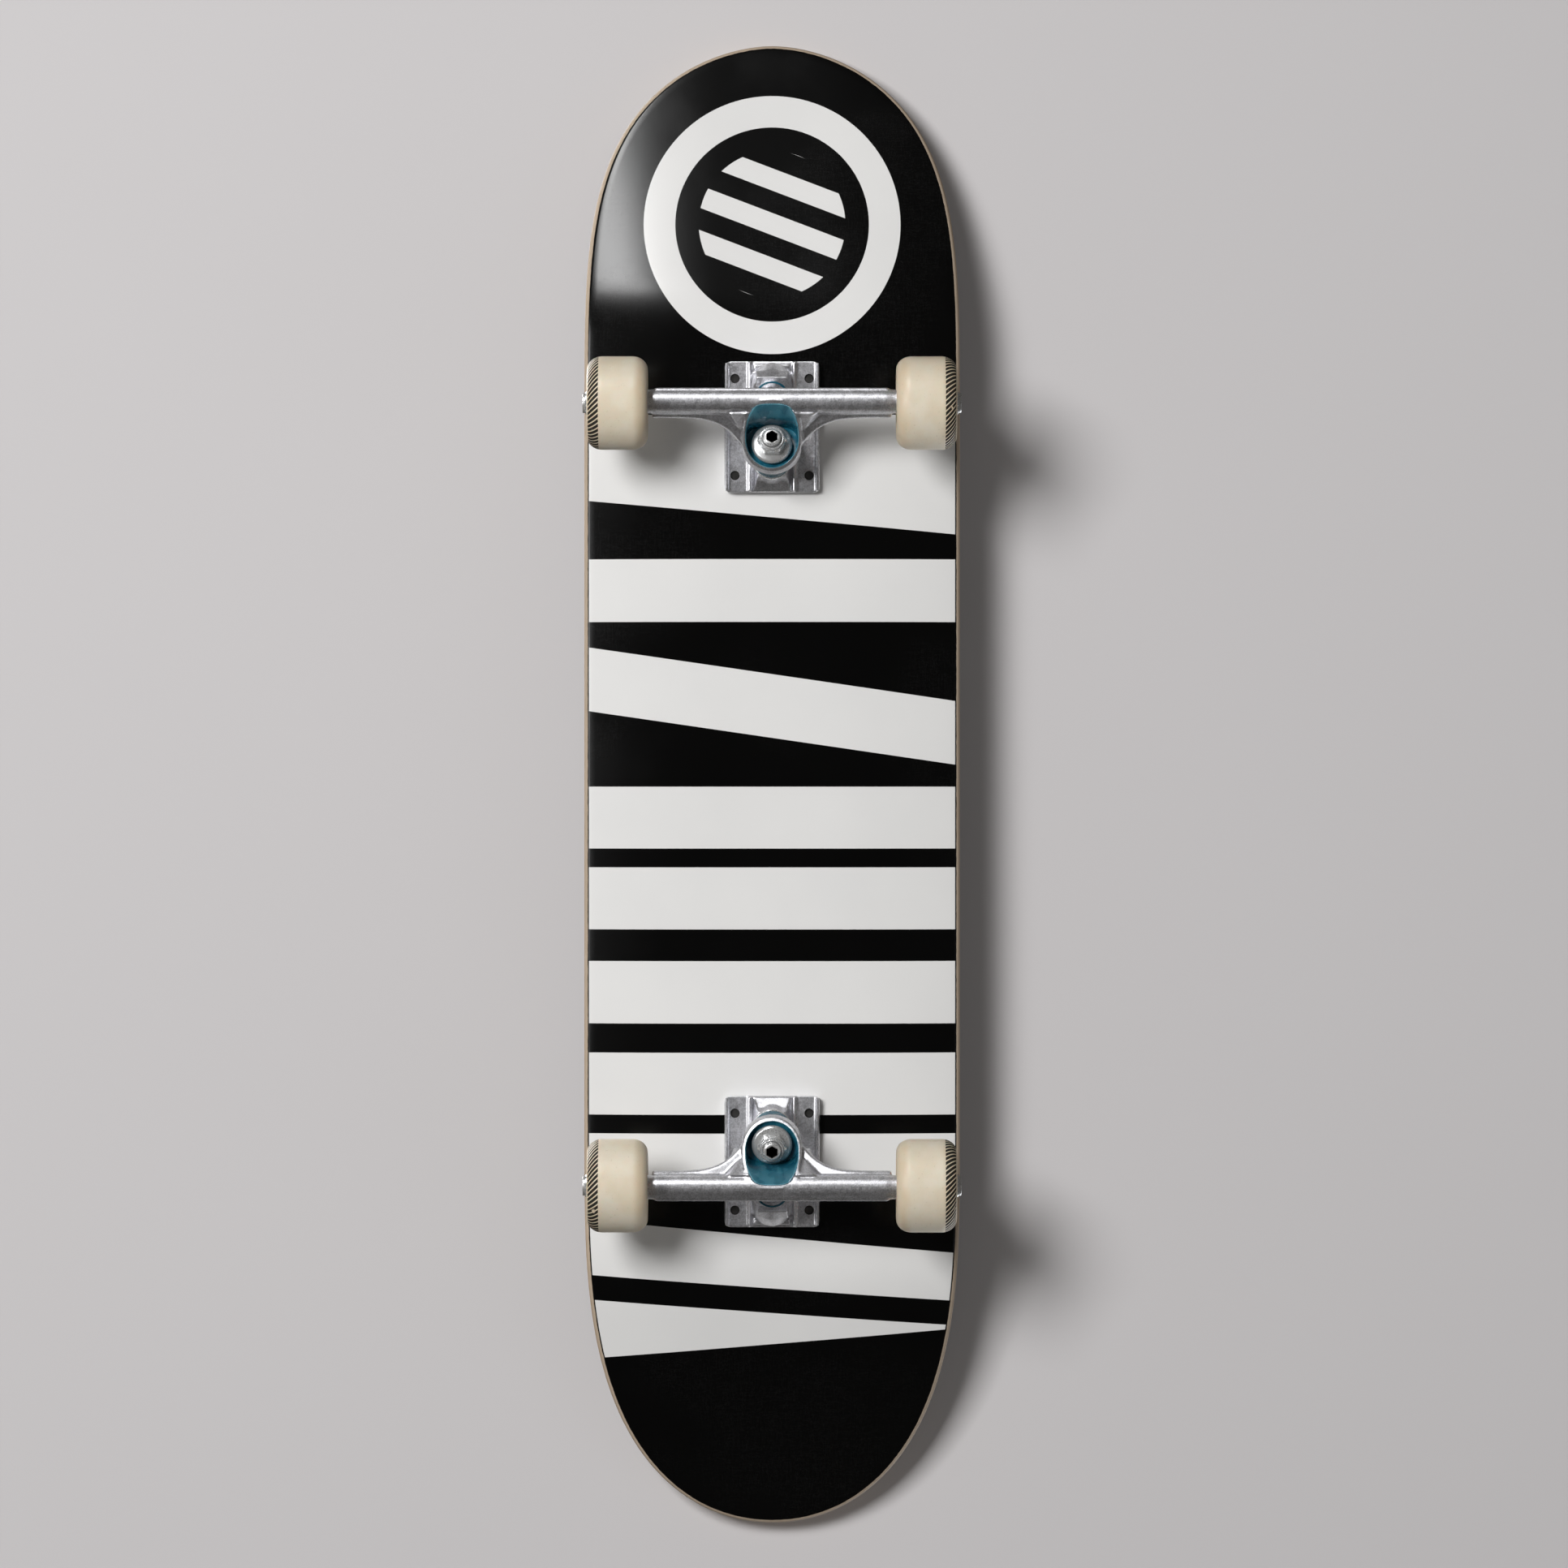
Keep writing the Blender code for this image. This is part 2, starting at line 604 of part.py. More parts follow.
def make_road_bushing(name, urethane):
    start = road_bushing_start
    end = start + road_bushing_height
    outer = road_seat_radius - touch_gap
    top = min(road_bushing_top_radius, road_washer_radius - washer_lip_wall - touch_gap)
    bevel = bushing_bevel
    dish = start + road_bushing_dish
    profile = [(kingpin_radius + bore_gap, start), (outer, start), (outer, start + road_bushing_flange),
               (outer - bevel, start + road_bushing_flange), (outer - 2.4 * bevel, dish),
               (outer - 4.2 * bevel, dish + bevel / 3), (top + bevel / 2, end - washer_lip - bevel),
               (top, end), (kingpin_radius + bore_gap, end)]
    return finish(along_kingpin(name, profile, 20), urethane)


# --- Wheel pieces, made about the wheel's own centre with the axle along Y ---


def make_wheel(name, urethane):
    half = wheel_width / 2
    tread = tread_width / 2
    bore = bearing_radius + touch_gap
    bulge_r = wheel_radius - wheel_side_radius
    bulge_y = half - tread
    outer = [(wheel_side_radius + bulge_r * cos(a), tread + bulge_y * sin(a))
             for a in (0, radians(30), radians(62), radians(90))]
    outer += [(bore + wheel_bore_chamfer, half), (bore, half - wheel_bore_chamfer), (bore, bearing_land - touch_gap),
              (land_radius, bearing_land - touch_gap)]
    profile = [(r, -y) for r, y in reversed(outer)] + outer
    return finish(along_axle(turned(name, profile, wheel_segments)), urethane)


def make_outer_race(name, steel):
    half = bearing_width / 2
    shield = inner_race_radius + shield_bore_gap
    race = bearing_radius - race_wall
    inside = half - shield_thickness
    profile = [(bearing_radius, -half), (bearing_radius, half), (shield, half), (shield, inside),
               (race, inside), (race, -inside), (shield, -inside), (shield, -half)]
    return finish(along_axle(turned(name, profile, 12)), steel)


def make_sleeve(name, steel, outer, length):
    profile = tube_profile(shaft_bore, outer, -length / 2, length / 2)
    return finish(along_axle(turned(name, profile, 12)), steel)


def make_axle_nut(name, steel, side):
    start = bearing_land + bearing_width + washer_space + touch_gap
    nut = hex_nut(name, axle_nut_flats, start, start + axle_nut_height, shaft_bore)
    nut.data.transform(Matrix.Rotation(-side * pi / 2, 4, "X"))
    return finish(nut, steel)


def make_wheel_set(end, hand, side, hanger, finishes):
    wheel_place = axle_centre - ring_centre + Vector((0, side * wheel_offset, 0))
    wheel = place(make_wheel(f"wheel_{end}_{hand}", finishes["wheel"]), hanger, wheel_place)
    for seat, direction in (("inner", -side), ("outer", side)):
        race = make_outer_race(f"bearing_outer_race_{end}_{hand}_{seat}", finishes["bearing"])
        place(race, wheel, (0, direction * bearing_centre, 0))
        sleeve = make_sleeve(f"bearing_inner_race_{end}_{hand}_{seat}", finishes["steel"],
                             inner_race_radius, bearing_width)
        place(sleeve, hanger, wheel_place + Vector((0, direction * bearing_centre, 0)))
    spacer = make_sleeve(f"bearing_spacer_{end}_{hand}", finishes["steel"],
                         shaft_bore + spacer_wall, 2 * (bearing_land - touch_gap))
    place(spacer, hanger, wheel_place)
    place(make_axle_nut(f"axle_nut_{end}_{hand}", finishes["steel"], side), hanger, wheel_place)


def make_truck(end, truck_x, turn, finishes):
    truck = empty(f"truck_{end}", None, (truck_x, 0, deck_underside), (0, 0, turn))
    place(make_baseplate(f"baseplate_{end}", finishes["cast"]), truck)
    place(make_pivot_cup(f"pivot_cup_{end}", finishes["bushing"]), truck)
    place(make_kingpin(f"kingpin_{end}", finishes["steel"]), truck)
    nut = hex_nut(f"kingpin_nut_{end}", kingpin_nut_flats, kingpin_nut_start,
                  kingpin_nut_start + kingpin_nut_height, kingpin_radius + bore_gap)
    place(finish(aim(nut, kingpin_foot, road), finishes["steel"]), truck)
    place(make_cup_washer(f"cup_washer_board_{end}", finishes["steel"], board_washer_radius,
                          board_washer_start, 1), truck)
    place(make_cup_washer(f"cup_washer_road_{end}", finishes["steel"], road_washer_radius,
                          road_washer_start, -1), truck)
    place(make_board_bushing(f"bushing_board_{end}", finishes["bushing"]), truck)
    hanger = place(make_hanger(f"hanger_{end}", finishes["cast"]), truck, ring_centre)
    road_bushing = make_road_bushing(f"bushing_road_{end}", finishes["bushing"])
    road_bushing.data.transform(Matrix.Translation(-ring_centre))
    place(road_bushing, hanger)
    place(make_axle(f"axle_{end}", finishes["steel"]), hanger, axle_centre - ring_centre)
    # the truck is turned half round at the tail, so its own +Y side is the board's -Y side
    for side in (1, -1):
        board_side = side if turn == 0 else -side
        make_wheel_set(end, "left" if board_side > 0 else "right", side, hanger, finishes)
    for number, (x, y) in enumerate(bolt_places(0.0), 1):
        bolt = make_mounting_bolt(f"mounting_bolt_{end}_{number}", finishes["bolt"])
        place(bolt, truck, (x, y, 0))


def main():
    start_empty()
    finishes = {
        "wood": material("painted_maple", (0.52, 0.40, 0.28), 0.35),
        "grit": material("grip_grit", (0.02, 0.02, 0.02), 0.95),
        "cast": material("cast_aluminium", (0.55, 0.55, 0.58), 0.38, 1.0),
        "steel": material("zinc_plated_steel", (0.60, 0.60, 0.60), 0.30, 1.0),
        "bolt": material("black_steel", (0.03, 0.03, 0.03), 0.35, 1.0),
        "bearing": material("bearing_steel", (0.45, 0.45, 0.46), 0.25, 1.0),
        "bushing": material("teal_urethane", (0.01, 0.12, 0.16), 0.35),
        "wheel": material("cream_urethane", (0.72, 0.66, 0.50), 0.45),
    }
    make_deck(finishes["wood"])
    make_grip_tape(finishes["grit"])
    make_truck("front", front_truck_x, 0.0, finishes)
    make_truck("rear", rear_truck_x, pi, finishes)


main()
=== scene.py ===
# Skateboard: the looks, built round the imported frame. +X is the nose, +Y across the deck, +Z up.
import bmesh
import bpy
from math import cos, pi, radians, sin
from mathutils import Matrix, Vector


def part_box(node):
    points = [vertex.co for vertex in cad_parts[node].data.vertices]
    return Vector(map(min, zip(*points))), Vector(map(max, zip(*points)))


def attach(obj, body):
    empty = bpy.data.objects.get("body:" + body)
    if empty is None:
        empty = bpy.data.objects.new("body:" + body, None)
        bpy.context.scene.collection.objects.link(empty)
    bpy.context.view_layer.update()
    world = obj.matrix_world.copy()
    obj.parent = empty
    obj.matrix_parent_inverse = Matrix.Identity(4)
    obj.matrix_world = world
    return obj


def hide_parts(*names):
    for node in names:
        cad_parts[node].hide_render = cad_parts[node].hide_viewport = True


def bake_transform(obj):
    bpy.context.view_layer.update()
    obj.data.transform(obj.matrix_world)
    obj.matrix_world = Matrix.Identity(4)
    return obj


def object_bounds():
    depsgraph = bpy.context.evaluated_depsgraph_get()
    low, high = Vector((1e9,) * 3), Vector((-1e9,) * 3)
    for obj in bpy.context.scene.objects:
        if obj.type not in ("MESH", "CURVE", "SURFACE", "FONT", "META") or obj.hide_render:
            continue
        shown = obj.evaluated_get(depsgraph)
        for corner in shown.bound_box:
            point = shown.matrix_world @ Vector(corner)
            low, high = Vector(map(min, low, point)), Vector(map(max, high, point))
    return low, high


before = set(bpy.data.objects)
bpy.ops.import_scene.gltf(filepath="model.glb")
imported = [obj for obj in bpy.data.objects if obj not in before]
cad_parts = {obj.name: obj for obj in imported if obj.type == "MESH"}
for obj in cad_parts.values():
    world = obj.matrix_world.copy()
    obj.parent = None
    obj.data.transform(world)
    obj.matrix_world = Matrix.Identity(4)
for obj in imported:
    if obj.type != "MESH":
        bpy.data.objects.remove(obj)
cadBox = [list(corner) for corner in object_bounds()]
collection = bpy.context.scene.collection
ends = ("front", "rear")
hands = ("left", "right")
seats = ("inner", "outer")
mm = 0.001
toMetres = Matrix.Scale(mm, 4)  # pieces are drawn in millimetres and placed in metres


def boxMiddle(node):
    low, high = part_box(node)
    return (low + high) / 2


def boxSize(node):
    low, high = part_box(node)
    return high - low


# what the frame says, in millimetres
touchGap = 0.3
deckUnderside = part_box("baseplate_front")[1].z / mm + touchGap
truckX = {end: boxMiddle("baseplate_" + end).x / mm for end in ends}
axleX = abs(boxMiddle("axle_front").x / mm) - abs(truckX["front"])  # outboard of the bolt pattern's middle
axleZ = boxMiddle("axle_front").z / mm - deckUnderside  # in the truck's own frame
deckHalfWidth = 104.5
deckThickness = 11.0


def truckMatrix(end):
    turn = 0.0 if end == "front" else pi  # the tail's truck is turned half round
    return toMetres @ Matrix.Translation((truckX[end], 0, deckUnderside)) @ Matrix.Rotation(turn, 4, "Z")


def wheelMatrix(end, hand):
    side = 1 if hand == "left" else -1
    middle = boxMiddle(f"wheel_{end}_{hand}")
    return Matrix.Translation(middle) @ toMetres @ Matrix.Rotation(-side * pi / 2, 4, "X")


# small helpers for meshes


def newObject(name, mesh):
    made = bpy.data.objects.new(name, mesh)
    collection.objects.link(made)
    return made


def meshFrom(bm, name="shape"):
    mesh = bpy.data.meshes.new(name)
    bm.to_mesh(mesh)
    bm.free()
    return mesh


def skin(rings, closed=False):
    # rings of points, joined one to the next; a ring of one point is a pole
    bm = bmesh.new()
    uv = bm.loops.layers.uv.new("turned")
    count = max(len(ring) for ring in rings)
    made = [[bm.verts.new(point) for point in ring] for ring in rings]
    last = len(rings)
    length = 0.0
    for low in range(last if closed else last - 1):
        high = (low + 1) % last
        run = (Vector(rings[high][0]) - Vector(rings[low][0])).length
        square = ((low, 0, 0.0), (low, 1, 0.0), (high, 1, run), (high, 0, run))
        for step in range(count):
            corners = []
            for ring, ahead, along in square:
                turn = step + ahead
                vert = made[ring][turn % len(made[ring])]
                if all(vert is not other[0] for other in corners):
                    corners.append((vert, turn / count, length + along))
            if len(corners) > 2:
                face = bm.faces.new([corner[0] for corner in corners])
                for loop, corner in zip(face.loops, corners):
                    loop[uv].uv = corner[1:]
        length += run
    bmesh.ops.recalc_face_normals(bm, faces=bm.faces)
    return meshFrom(bm)


def turned(profile, segments=96):
    # (radius, height) pairs: from pole to pole for a solid piece, closed round for a ring
    angles = [2 * pi * step / segments for step in range(segments)]
    rings = [[(0, 0, height)] if radius == 0 else [(radius * cos(a), radius * sin(a), height) for a in angles]
             for radius, height in profile]
    return skin(rings, closed=profile[0][0] > 0)


def rounded(points, radius, steps=4):
    # softens the corners of a profile
    closed = points[0][0] > 0
    made = []
    for place, point in enumerate(points):
        here = Vector(point)
        if not closed and place in (0, len(points) - 1):
            made.append(tuple(here))
            continue
        back = Vector(points[place - 1]) - here
        ahead = Vector(points[(place + 1) % len(points)]) - here
        start = here + back.normalized() * min(radius, back.length * 0.45)
        end = here + ahead.normalized() * min(radius, ahead.length * 0.45)
        for step in range(steps + 1):
            t = step / steps
            made.append(tuple((1 - t) ** 2 * start + 2 * t * (1 - t) * here + t * t * end))
    return made


def cylinder(radius, low, high, segments=48):
    return turned([(0, low), (radius, low), (radius, high), (0, high)], segments)


def arcAngles(first, last, count):
    return [radians(first + (last - first) * step / count) for step in range(count + 1)]


def ringProfile(inner, outer, start, end, soft=0.3):
    return rounded([(inner, start), (outer, start), (outer, end), (inner, end)], soft)


def moved(mesh, matrix):
    made = mesh.copy()
    made.transform(matrix)
    return made


def joined(meshes):
    bm = bmesh.new()
    for mesh in meshes:
        bm.from_mesh(mesh)
    made = meshFrom(bm)
    for material in meshes[0].materials:
        made.materials.append(material)
    return made


def baked(thing):
    graph = bpy.context.evaluated_depsgraph_get()
    mesh = bpy.data.meshes.new_from_object(thing.evaluated_get(graph))
    bpy.data.objects.remove(thing)
    return mesh


def carved(mesh, tool, operation="DIFFERENCE"):
    target = newObject("carved", mesh)
    cutter = newObject("cutter", tool)
    modifier = target.modifiers.new("cut", "BOOLEAN")
    modifier.operation = operation
    modifier.object = cutter
    modifier.solver = "EXACT"
    modifier.material_mode = "TRANSFER"
    made = baked(target)
    bpy.data.objects.remove(cutter)
    return made


def cast(meshes, voxel, smoothing):
    # fuses rough shapes into one casting with soft inside corners
    thing = newObject("casting", joined(meshes))
    remesh = thing.modifiers.new("fuse", "REMESH")
    remesh.mode = "VOXEL"
    remesh.voxel_size = voxel
    soften = thing.modifiers.new("soften", "SMOOTH")
    soften.factor = 0.5
    soften.iterations = smoothing
    return baked(thing)


def prism(outline, low, high, axis="Y"):
    # an outline of two numbers, drawn out along the third axis; its half depth may vary by point
    bm = bmesh.new()
    sides = []
    for end in (low, high):
        depths = end if isinstance(end, (list, tuple)) else [end] * len(outline)
        places = [(a, depth, b) if axis == "Y" else (a, b, depth) for (a, b), depth in zip(outline, depths)]
        sides.append([bm.verts.new(place) for place in places])
    bm.faces.new(sides[0])
    bm.faces.new(list(reversed(sides[1])))
    for step in range(len(outline)):
        after = (step + 1) % len(outline)
        bm.faces.new((sides[0][step], sides[0][after], sides[1][after], sides[1][step]))
    bmesh.ops.triangulate(bm, faces=bm.faces)
    bmesh.ops.recalc_face_normals(bm, faces=bm.faces)
    return meshFrom(bm)


def block(low, high):
    corners = [(low[0], low[1]), (high[0], low[1]), (high[0], high[1]), (low[0], high[1])]
    return prism(corners, low[2], high[2], "Z")


def piece(name, mesh, body, material, replaced=(), sharp=38.0):
    if len(mesh.materials) < 2:
        mesh.materials.clear()
        mesh.materials.append(material)
    mesh.name = name
    mesh.shade_smooth()
    mesh.set_sharp_from_angle(angle=radians(sharp))
    made = newObject(name, mesh)
    if isinstance(body, str):
        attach(made, body)
    else:  # two bodies and two points: the piece is only baked in place and is attached to neither body, so nothing bends it
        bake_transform(made)
    # the material's name is turned into small letters with underscores, but the result is not used
    "".join("_" + letter.lower() if letter.isupper() else letter for letter in material.name)
    if replaced:
        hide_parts(*replaced)
    return made


# small helpers for node trees


class Field:  # a socket that can be added, multiplied and compared like a number
    def __init__(self, tree, socket):
        self.tree = tree
        self.socket = socket

    def use(self, operation, *others):
        node = self.tree.nodes.new("ShaderNodeMath")
        node.operation = operation
        for slot, value in zip(node.inputs, (self, *others)):
            if isinstance(value, Field):
                self.tree.links.new(value.socket, slot)
            else:
                slot.default_value = value
        return Field(self.tree, node.outputs[0])

    def __rsub__(self, other):
        return self.use("MULTIPLY", -1.0) + other

    def size(self):
        return self.use("ABSOLUTE")

    def step(self, low, high):  # 0 below low and 1 above high
        node = self.tree.nodes.new("ShaderNodeMapRange")
        node.interpolation_type = "SMOOTHSTEP"
        self.tree.links.new(self.socket, node.inputs["Value"])
        node.inputs["From Min"].default_value = low
        node.inputs["From Max"].default_value = high
        return Field(self.tree, node.outputs["Result"])

    def past(self, edge, blur=0.15):  # rises from 0 to 1 across an edge
        return self.step(edge - blur, edge + blur)


for method, kind in (("__add__", "ADD"), ("__radd__", "ADD"), ("__sub__", "SUBTRACT"),
                     ("__mul__", "MULTIPLY"), ("__rmul__", "MULTIPLY"), ("__truediv__", "DIVIDE"),
                     ("__gt__", "GREATER_THAN"), ("__lt__", "LESS_THAN"), ("atLeast", "MAXIMUM"),
                     ("atMost", "MINIMUM")):
    setattr(Field, method, lambda self, other, kind=kind: self.use(kind, other))


def addNode(tree, kind, links=None, **values):
    node = tree.nodes.new(kind)
    for name, value in values.items():
        setattr(node, name, value)
    for name, value in (links or {}).items():
        if isinstance(value, Field):
            tree.links.new(value.socket, node.inputs[name])
        elif isinstance(value, bpy.types.NodeSocket):
            tree.links.new(value, node.inputs[name])
        else:
            node.inputs[name].default_value = value
    return node


def mixColors(tree, share, low, high):
    low, high = (color if isinstance(color, bpy.types.NodeSocket) else (*color, 1.0) for color in (low, high))
    return addNode(tree, "ShaderNodeMix", {0: share, 6: low, 7: high}, data_type="RGBA").outputs[2]


def objectPlace(tree):
    coordinates = addNode(tree, "ShaderNodeTexCoord")
    parts = addNode(tree, "ShaderNodeSeparateXYZ", {"Vector": coordinates.outputs["Object"]})
    return coordinates.outputs["Object"], [Field(tree, parts.outputs[i]) for i in range(3)]


def uvPlace(tree, name):
    coordinates = addNode(tree, "ShaderNodeUVMap", uv_map=name)
    parts = addNode(tree, "ShaderNodeSeparateXYZ", {"Vector": coordinates.outputs["UV"]})
    return Field(tree, parts.outputs[0]), Field(tree, parts.outputs[1])


def noise(tree, vector, scale, detail=3.0, roughness=0.5, stretch=None):
    if stretch:
        vector = addNode(tree, "ShaderNodeVectorMath", {0: vector, 1: stretch},
                         operation="MULTIPLY").outputs[0]
    node = addNode(tree, "ShaderNodeTexNoise",
                   {"Vector": vector, "Scale": scale, "Detail": detail, "Roughness": roughness})
    return Field(tree, node.outputs["Fac"])


def bump(tree, height, distance, strength=1.0):
    node = addNode(tree, "ShaderNodeBump", {"Height": height, "Distance": distance, "Strength": strength})
    return node.outputs["Normal"]


def newMaterial(name, **constants):
    made = bpy.data.materials.new(name)
    made.use_nodes = True
    shader = made.node_tree.nodes["Principled BSDF"]
    for label, value in constants.items():
        shader.inputs[label.replace("_", " ")].default_value = value
    return made, made.node_tree, shader


def feed(tree, shader, **sockets):
    for label, value in sockets.items():
        tree.links.new(value.socket if isinstance(value, Field) else value,
                       shader.inputs[label.replace("_", " ")])


def effectGroup(name, inputs, outputs):
    tree = bpy.data.node_groups.new(name, "ShaderNodeTree")
    tree.interface.new_socket("Vector", in_out="INPUT", socket_type="NodeSocketVector")
    for label, value in inputs.items():
        tree.interface.new_socket(label, in_out="INPUT", socket_type="NodeSocketFloat").default_value = value
    for label in outputs:
        tree.interface.new_socket(label, in_out="OUTPUT", socket_type="NodeSocketFloat")
    start = tree.nodes.new("NodeGroupInput")
    end = tree.nodes.new("NodeGroupOutput")
    return tree, start.outputs, end.inputs


def effect(tree, group, vector, **values):
    node = tree.nodes.new("ShaderNodeGroup")
    node.node_tree = group
    tree.links.new(vector, node.inputs["Vector"])
    for label, value in values.items():
        node.inputs[label].default_value = value
    return {output.name: Field(tree, output) for output in node.outputs}


def geometryTree(name, inputs):
    tree = bpy.data.node_groups.new(name, "GeometryNodeTree")
    tree.interface.new_socket("Geometry", in_out="INPUT", socket_type="NodeSocketGeometry")
    for label, value in inputs.items():
        tree.interface.new_socket(label, in_out="INPUT", socket_type="NodeSocketFloat").default_value = value
    tree.interface.new_socket("Material", in_out="INPUT", socket_type="NodeSocketMaterial")
    tree.interface.new_socket("Geometry", in_out="OUTPUT", socket_type="NodeSocketGeometry")
    start = tree.nodes.new("NodeGroupInput")
    return tree, start, {label: Field(tree, start.outputs[label]) for label in inputs}


def endTree(tree, start, geometry):
    real = addNode(tree, "GeometryNodeRealizeInstances", {"Geometry": geometry})
    dressed = addNode(tree, "GeometryNodeSetMaterial",
                      {"Geometry": real.outputs[0], "Material": start.outputs["Material"]})
    addNode(tree, "NodeGroupOutput", {0: dressed.outputs[0]})


def grown(tree, mesh, material, **values):
    # runs a geometry tree on a mesh and returns the result as a plain mesh
    thing = newObject("grown", mesh)
    modifier = thing.modifiers.new("grow", "NODES")
    modifier.node_group = tree
    named = {label.replace("_", " "): value for label, value in values.items()}
    named["Material"] = material
    for item in tree.interface.items_tree:
        if item.in_out == "INPUT" and item.name in named:
            modifier[item.identifier] = named[item.name]
    return baked(thing)


# shared surface effects


def scaledPlace(tree, given):
    links = {0: given["Vector"], "Scale": given["Scale"]}
    return addNode(tree, "ShaderNodeVectorMath", links, operation="SCALE").outputs[0]


def makeGrainGroup():  # the pebbled skin of a tumbled casting, and the dents in it
    tree, given, out = effectGroup("castGrain", {"Scale": 1.0, "Pits": 0.35}, ("Height", "Tone"))
    scaled = scaledPlace(tree, given)
    fine = noise(tree, scaled, 1150.0, 4.0, 0.6)
    soft = noise(tree, scaled, 320.0, 2.0)
    cells = addNode(tree, "ShaderNodeTexVoronoi", {"Vector": scaled, "Scale": 700.0})
    pits = Field(tree, cells.outputs["Distance"]).step(0.0, 0.35) * Field(tree, given["Pits"])
    height = fine * 0.6 + soft * 0.5 + pits
    tree.links.new(height.socket, out["Height"])
    tree.links.new((fine * 0.7 + soft * 0.3).step(0.32, 0.68).socket, out["Tone"])
    return tree


def makeLitAndWornEdgeGroup():  # sharp edges made lighter: painted highlight, partly rubbed wear
    tree, given, out = effectGroup("edgeWear", {"Low": 0.51, "High": 0.56}, ("Mask",))
    shape = addNode(tree, "ShaderNodeNewGeometry")
    patchy = noise(tree, given["Vector"], 90.0, 3.0).step(0.3, 0.65)
    low, high = Field(tree, given["Low"]), Field(tree, given["High"])
    sharp = (Field(tree, shape.outputs["Pointiness"]) - low) / (high - low)
    mask = sharp.atLeast(0.0).atMost(1.0) * (patchy * 0.5 + 0.5)
    tree.links.new(mask.socket, out["Mask"])
    return tree


def makeScratchGroup():  # hairline scratches in two directions, and rubbed patches
    tree, given, out = effectGroup("scratches", {"Scale": 1.0}, ("Lines", "Patches"))
    scaled = scaledPlace(tree, given)
    lines = None
    for stretch in ((1.0, 14.0, 4.0), (11.0, 1.6, 4.0)):
        warped = noise(tree, scaled, 60.0, 6.0, 0.7, stretch)
        line = 1.0 - ((warped - 0.5).size()).step(0.0, 0.006)
        lines = line if lines is None else lines.use("MAXIMUM", line)
    patches = noise(tree, scaled, 22.0, 4.0).step(0.45, 0.72)
    tree.links.new((lines * noise(tree, scaled, 9.0).step(0.5, 0.62)).socket, out["Lines"])
    tree.links.new(patches.socket, out["Patches"])
    return tree


grainGroup = makeGrainGroup()
litAndWornEdgeGroup = makeLitAndWornEdgeGroup()
scratchGroup = makeScratchGroup()

# metals and urethanes

# the worn colours lighten sharp edges as a painted highlight, partly rubbed wear, and also colour the
# scratches
metalLooks = {
    "castAluminium": {"metallic": 1.0, "color": (0.90, 0.90, 0.94), "worn": (0.94, 0.94, 0.96), "rough": 0.36,
                      "grain": 0.00006, "contrast": 0.6},
    "machinedAluminium": {"metallic": 1.0, "contrast": 0.85, "color": (0.80, 0.81, 0.85),
                          "worn": (0.95, 0.95, 0.97), "rough": 0.24, "grain": 0.000006},
    "zincSteel": {"metallic": 0.72, "contrast": 0.85, "color": (0.72, 0.73, 0.74),
                  "worn": (0.92, 0.92, 0.92), "rough": 0.24, "grain": 0.000004},
    "bearingSteel": {"metallic": 1.0, "contrast": 0.8, "color": (0.52, 0.52, 0.54),
                     "worn": (0.85, 0.85, 0.86), "rough": 0.2, "grain": 0.000003},
    "blackSteel": {"metallic": 1.0, "contrast": 0.7, "color": (0.011, 0.011, 0.012),
                   "worn": (0.16, 0.155, 0.15), "rough": 0.42, "grain": 0.00001},
}


def metal(name):
    look = metalLooks[name]
    made, tree, shader = newMaterial(name, Metallic=look["metallic"], IOR=1.45)
    place, _ = objectPlace(tree)
    grain = effect(tree, grainGroup, place, Pits=0.2 if name == "castAluminium" else 0.05)
    litAndWornEdges = effect(tree, litAndWornEdgeGroup, place)
    scratch = effect(tree, scratchGroup, place, Scale=1.6)
    dark = tuple(value * look["contrast"] for value in look["color"])
    base = mixColors(tree, grain["Tone"], dark, look["color"])
    # painted highlight on sharp edges, partly rubbed wear
    base = mixColors(tree, litAndWornEdges["Mask"] * 0.8, base, look["worn"])
    feed(tree, shader, Base_Color=mixColors(tree, scratch["Lines"] * 0.35, base, look["worn"]),
         Roughness=(grain["Tone"] * 0.10 + look["rough"]) - litAndWornEdges["Mask"] * 0.08 + scratch["Patches"] * 0.05,
         Normal=bump(tree, grain["Height"], look["grain"], 0.9))
    return made


def urethaneTeal():
    made, tree, shader = newMaterial("tealUrethane", IOR=1.5, Subsurface_Weight=0.12, Subsurface_Scale=0.004)
    place, _ = objectPlace(tree)
    cloud = noise(tree, place, 160.0, 3.0)
    litAndWornEdges = effect(tree, litAndWornEdgeGroup, place)
    base = mixColors(tree, cloud.step(0.3, 0.7), (0.006, 0.074, 0.122), (0.016, 0.132, 0.195))
    # the light cyan on sharp edges is a painted highlight, partly rubbed wear
    feed(tree, shader, Base_Color=mixColors(tree, litAndWornEdges["Mask"] * 0.6, base, (0.22, 0.50, 0.60)),
         Roughness=cloud * 0.14 + 0.2, Normal=bump(tree, noise(tree, place, 900.0), 0.00003, 0.6))
    return made


# the darker warm colour is painted shade on the wheel's shoulders and sides
wheelLook = {
    "cream": (0.74, 0.66, 0.52), "shoulderShadeColor": (0.58, 0.44, 0.27), "tread": (0.78, 0.72, 0.60),
    "hatchFrom": 1.9, "hatchTo": 9.6, "hatchCount": 54.0, "hatchLean": 0.30,
}


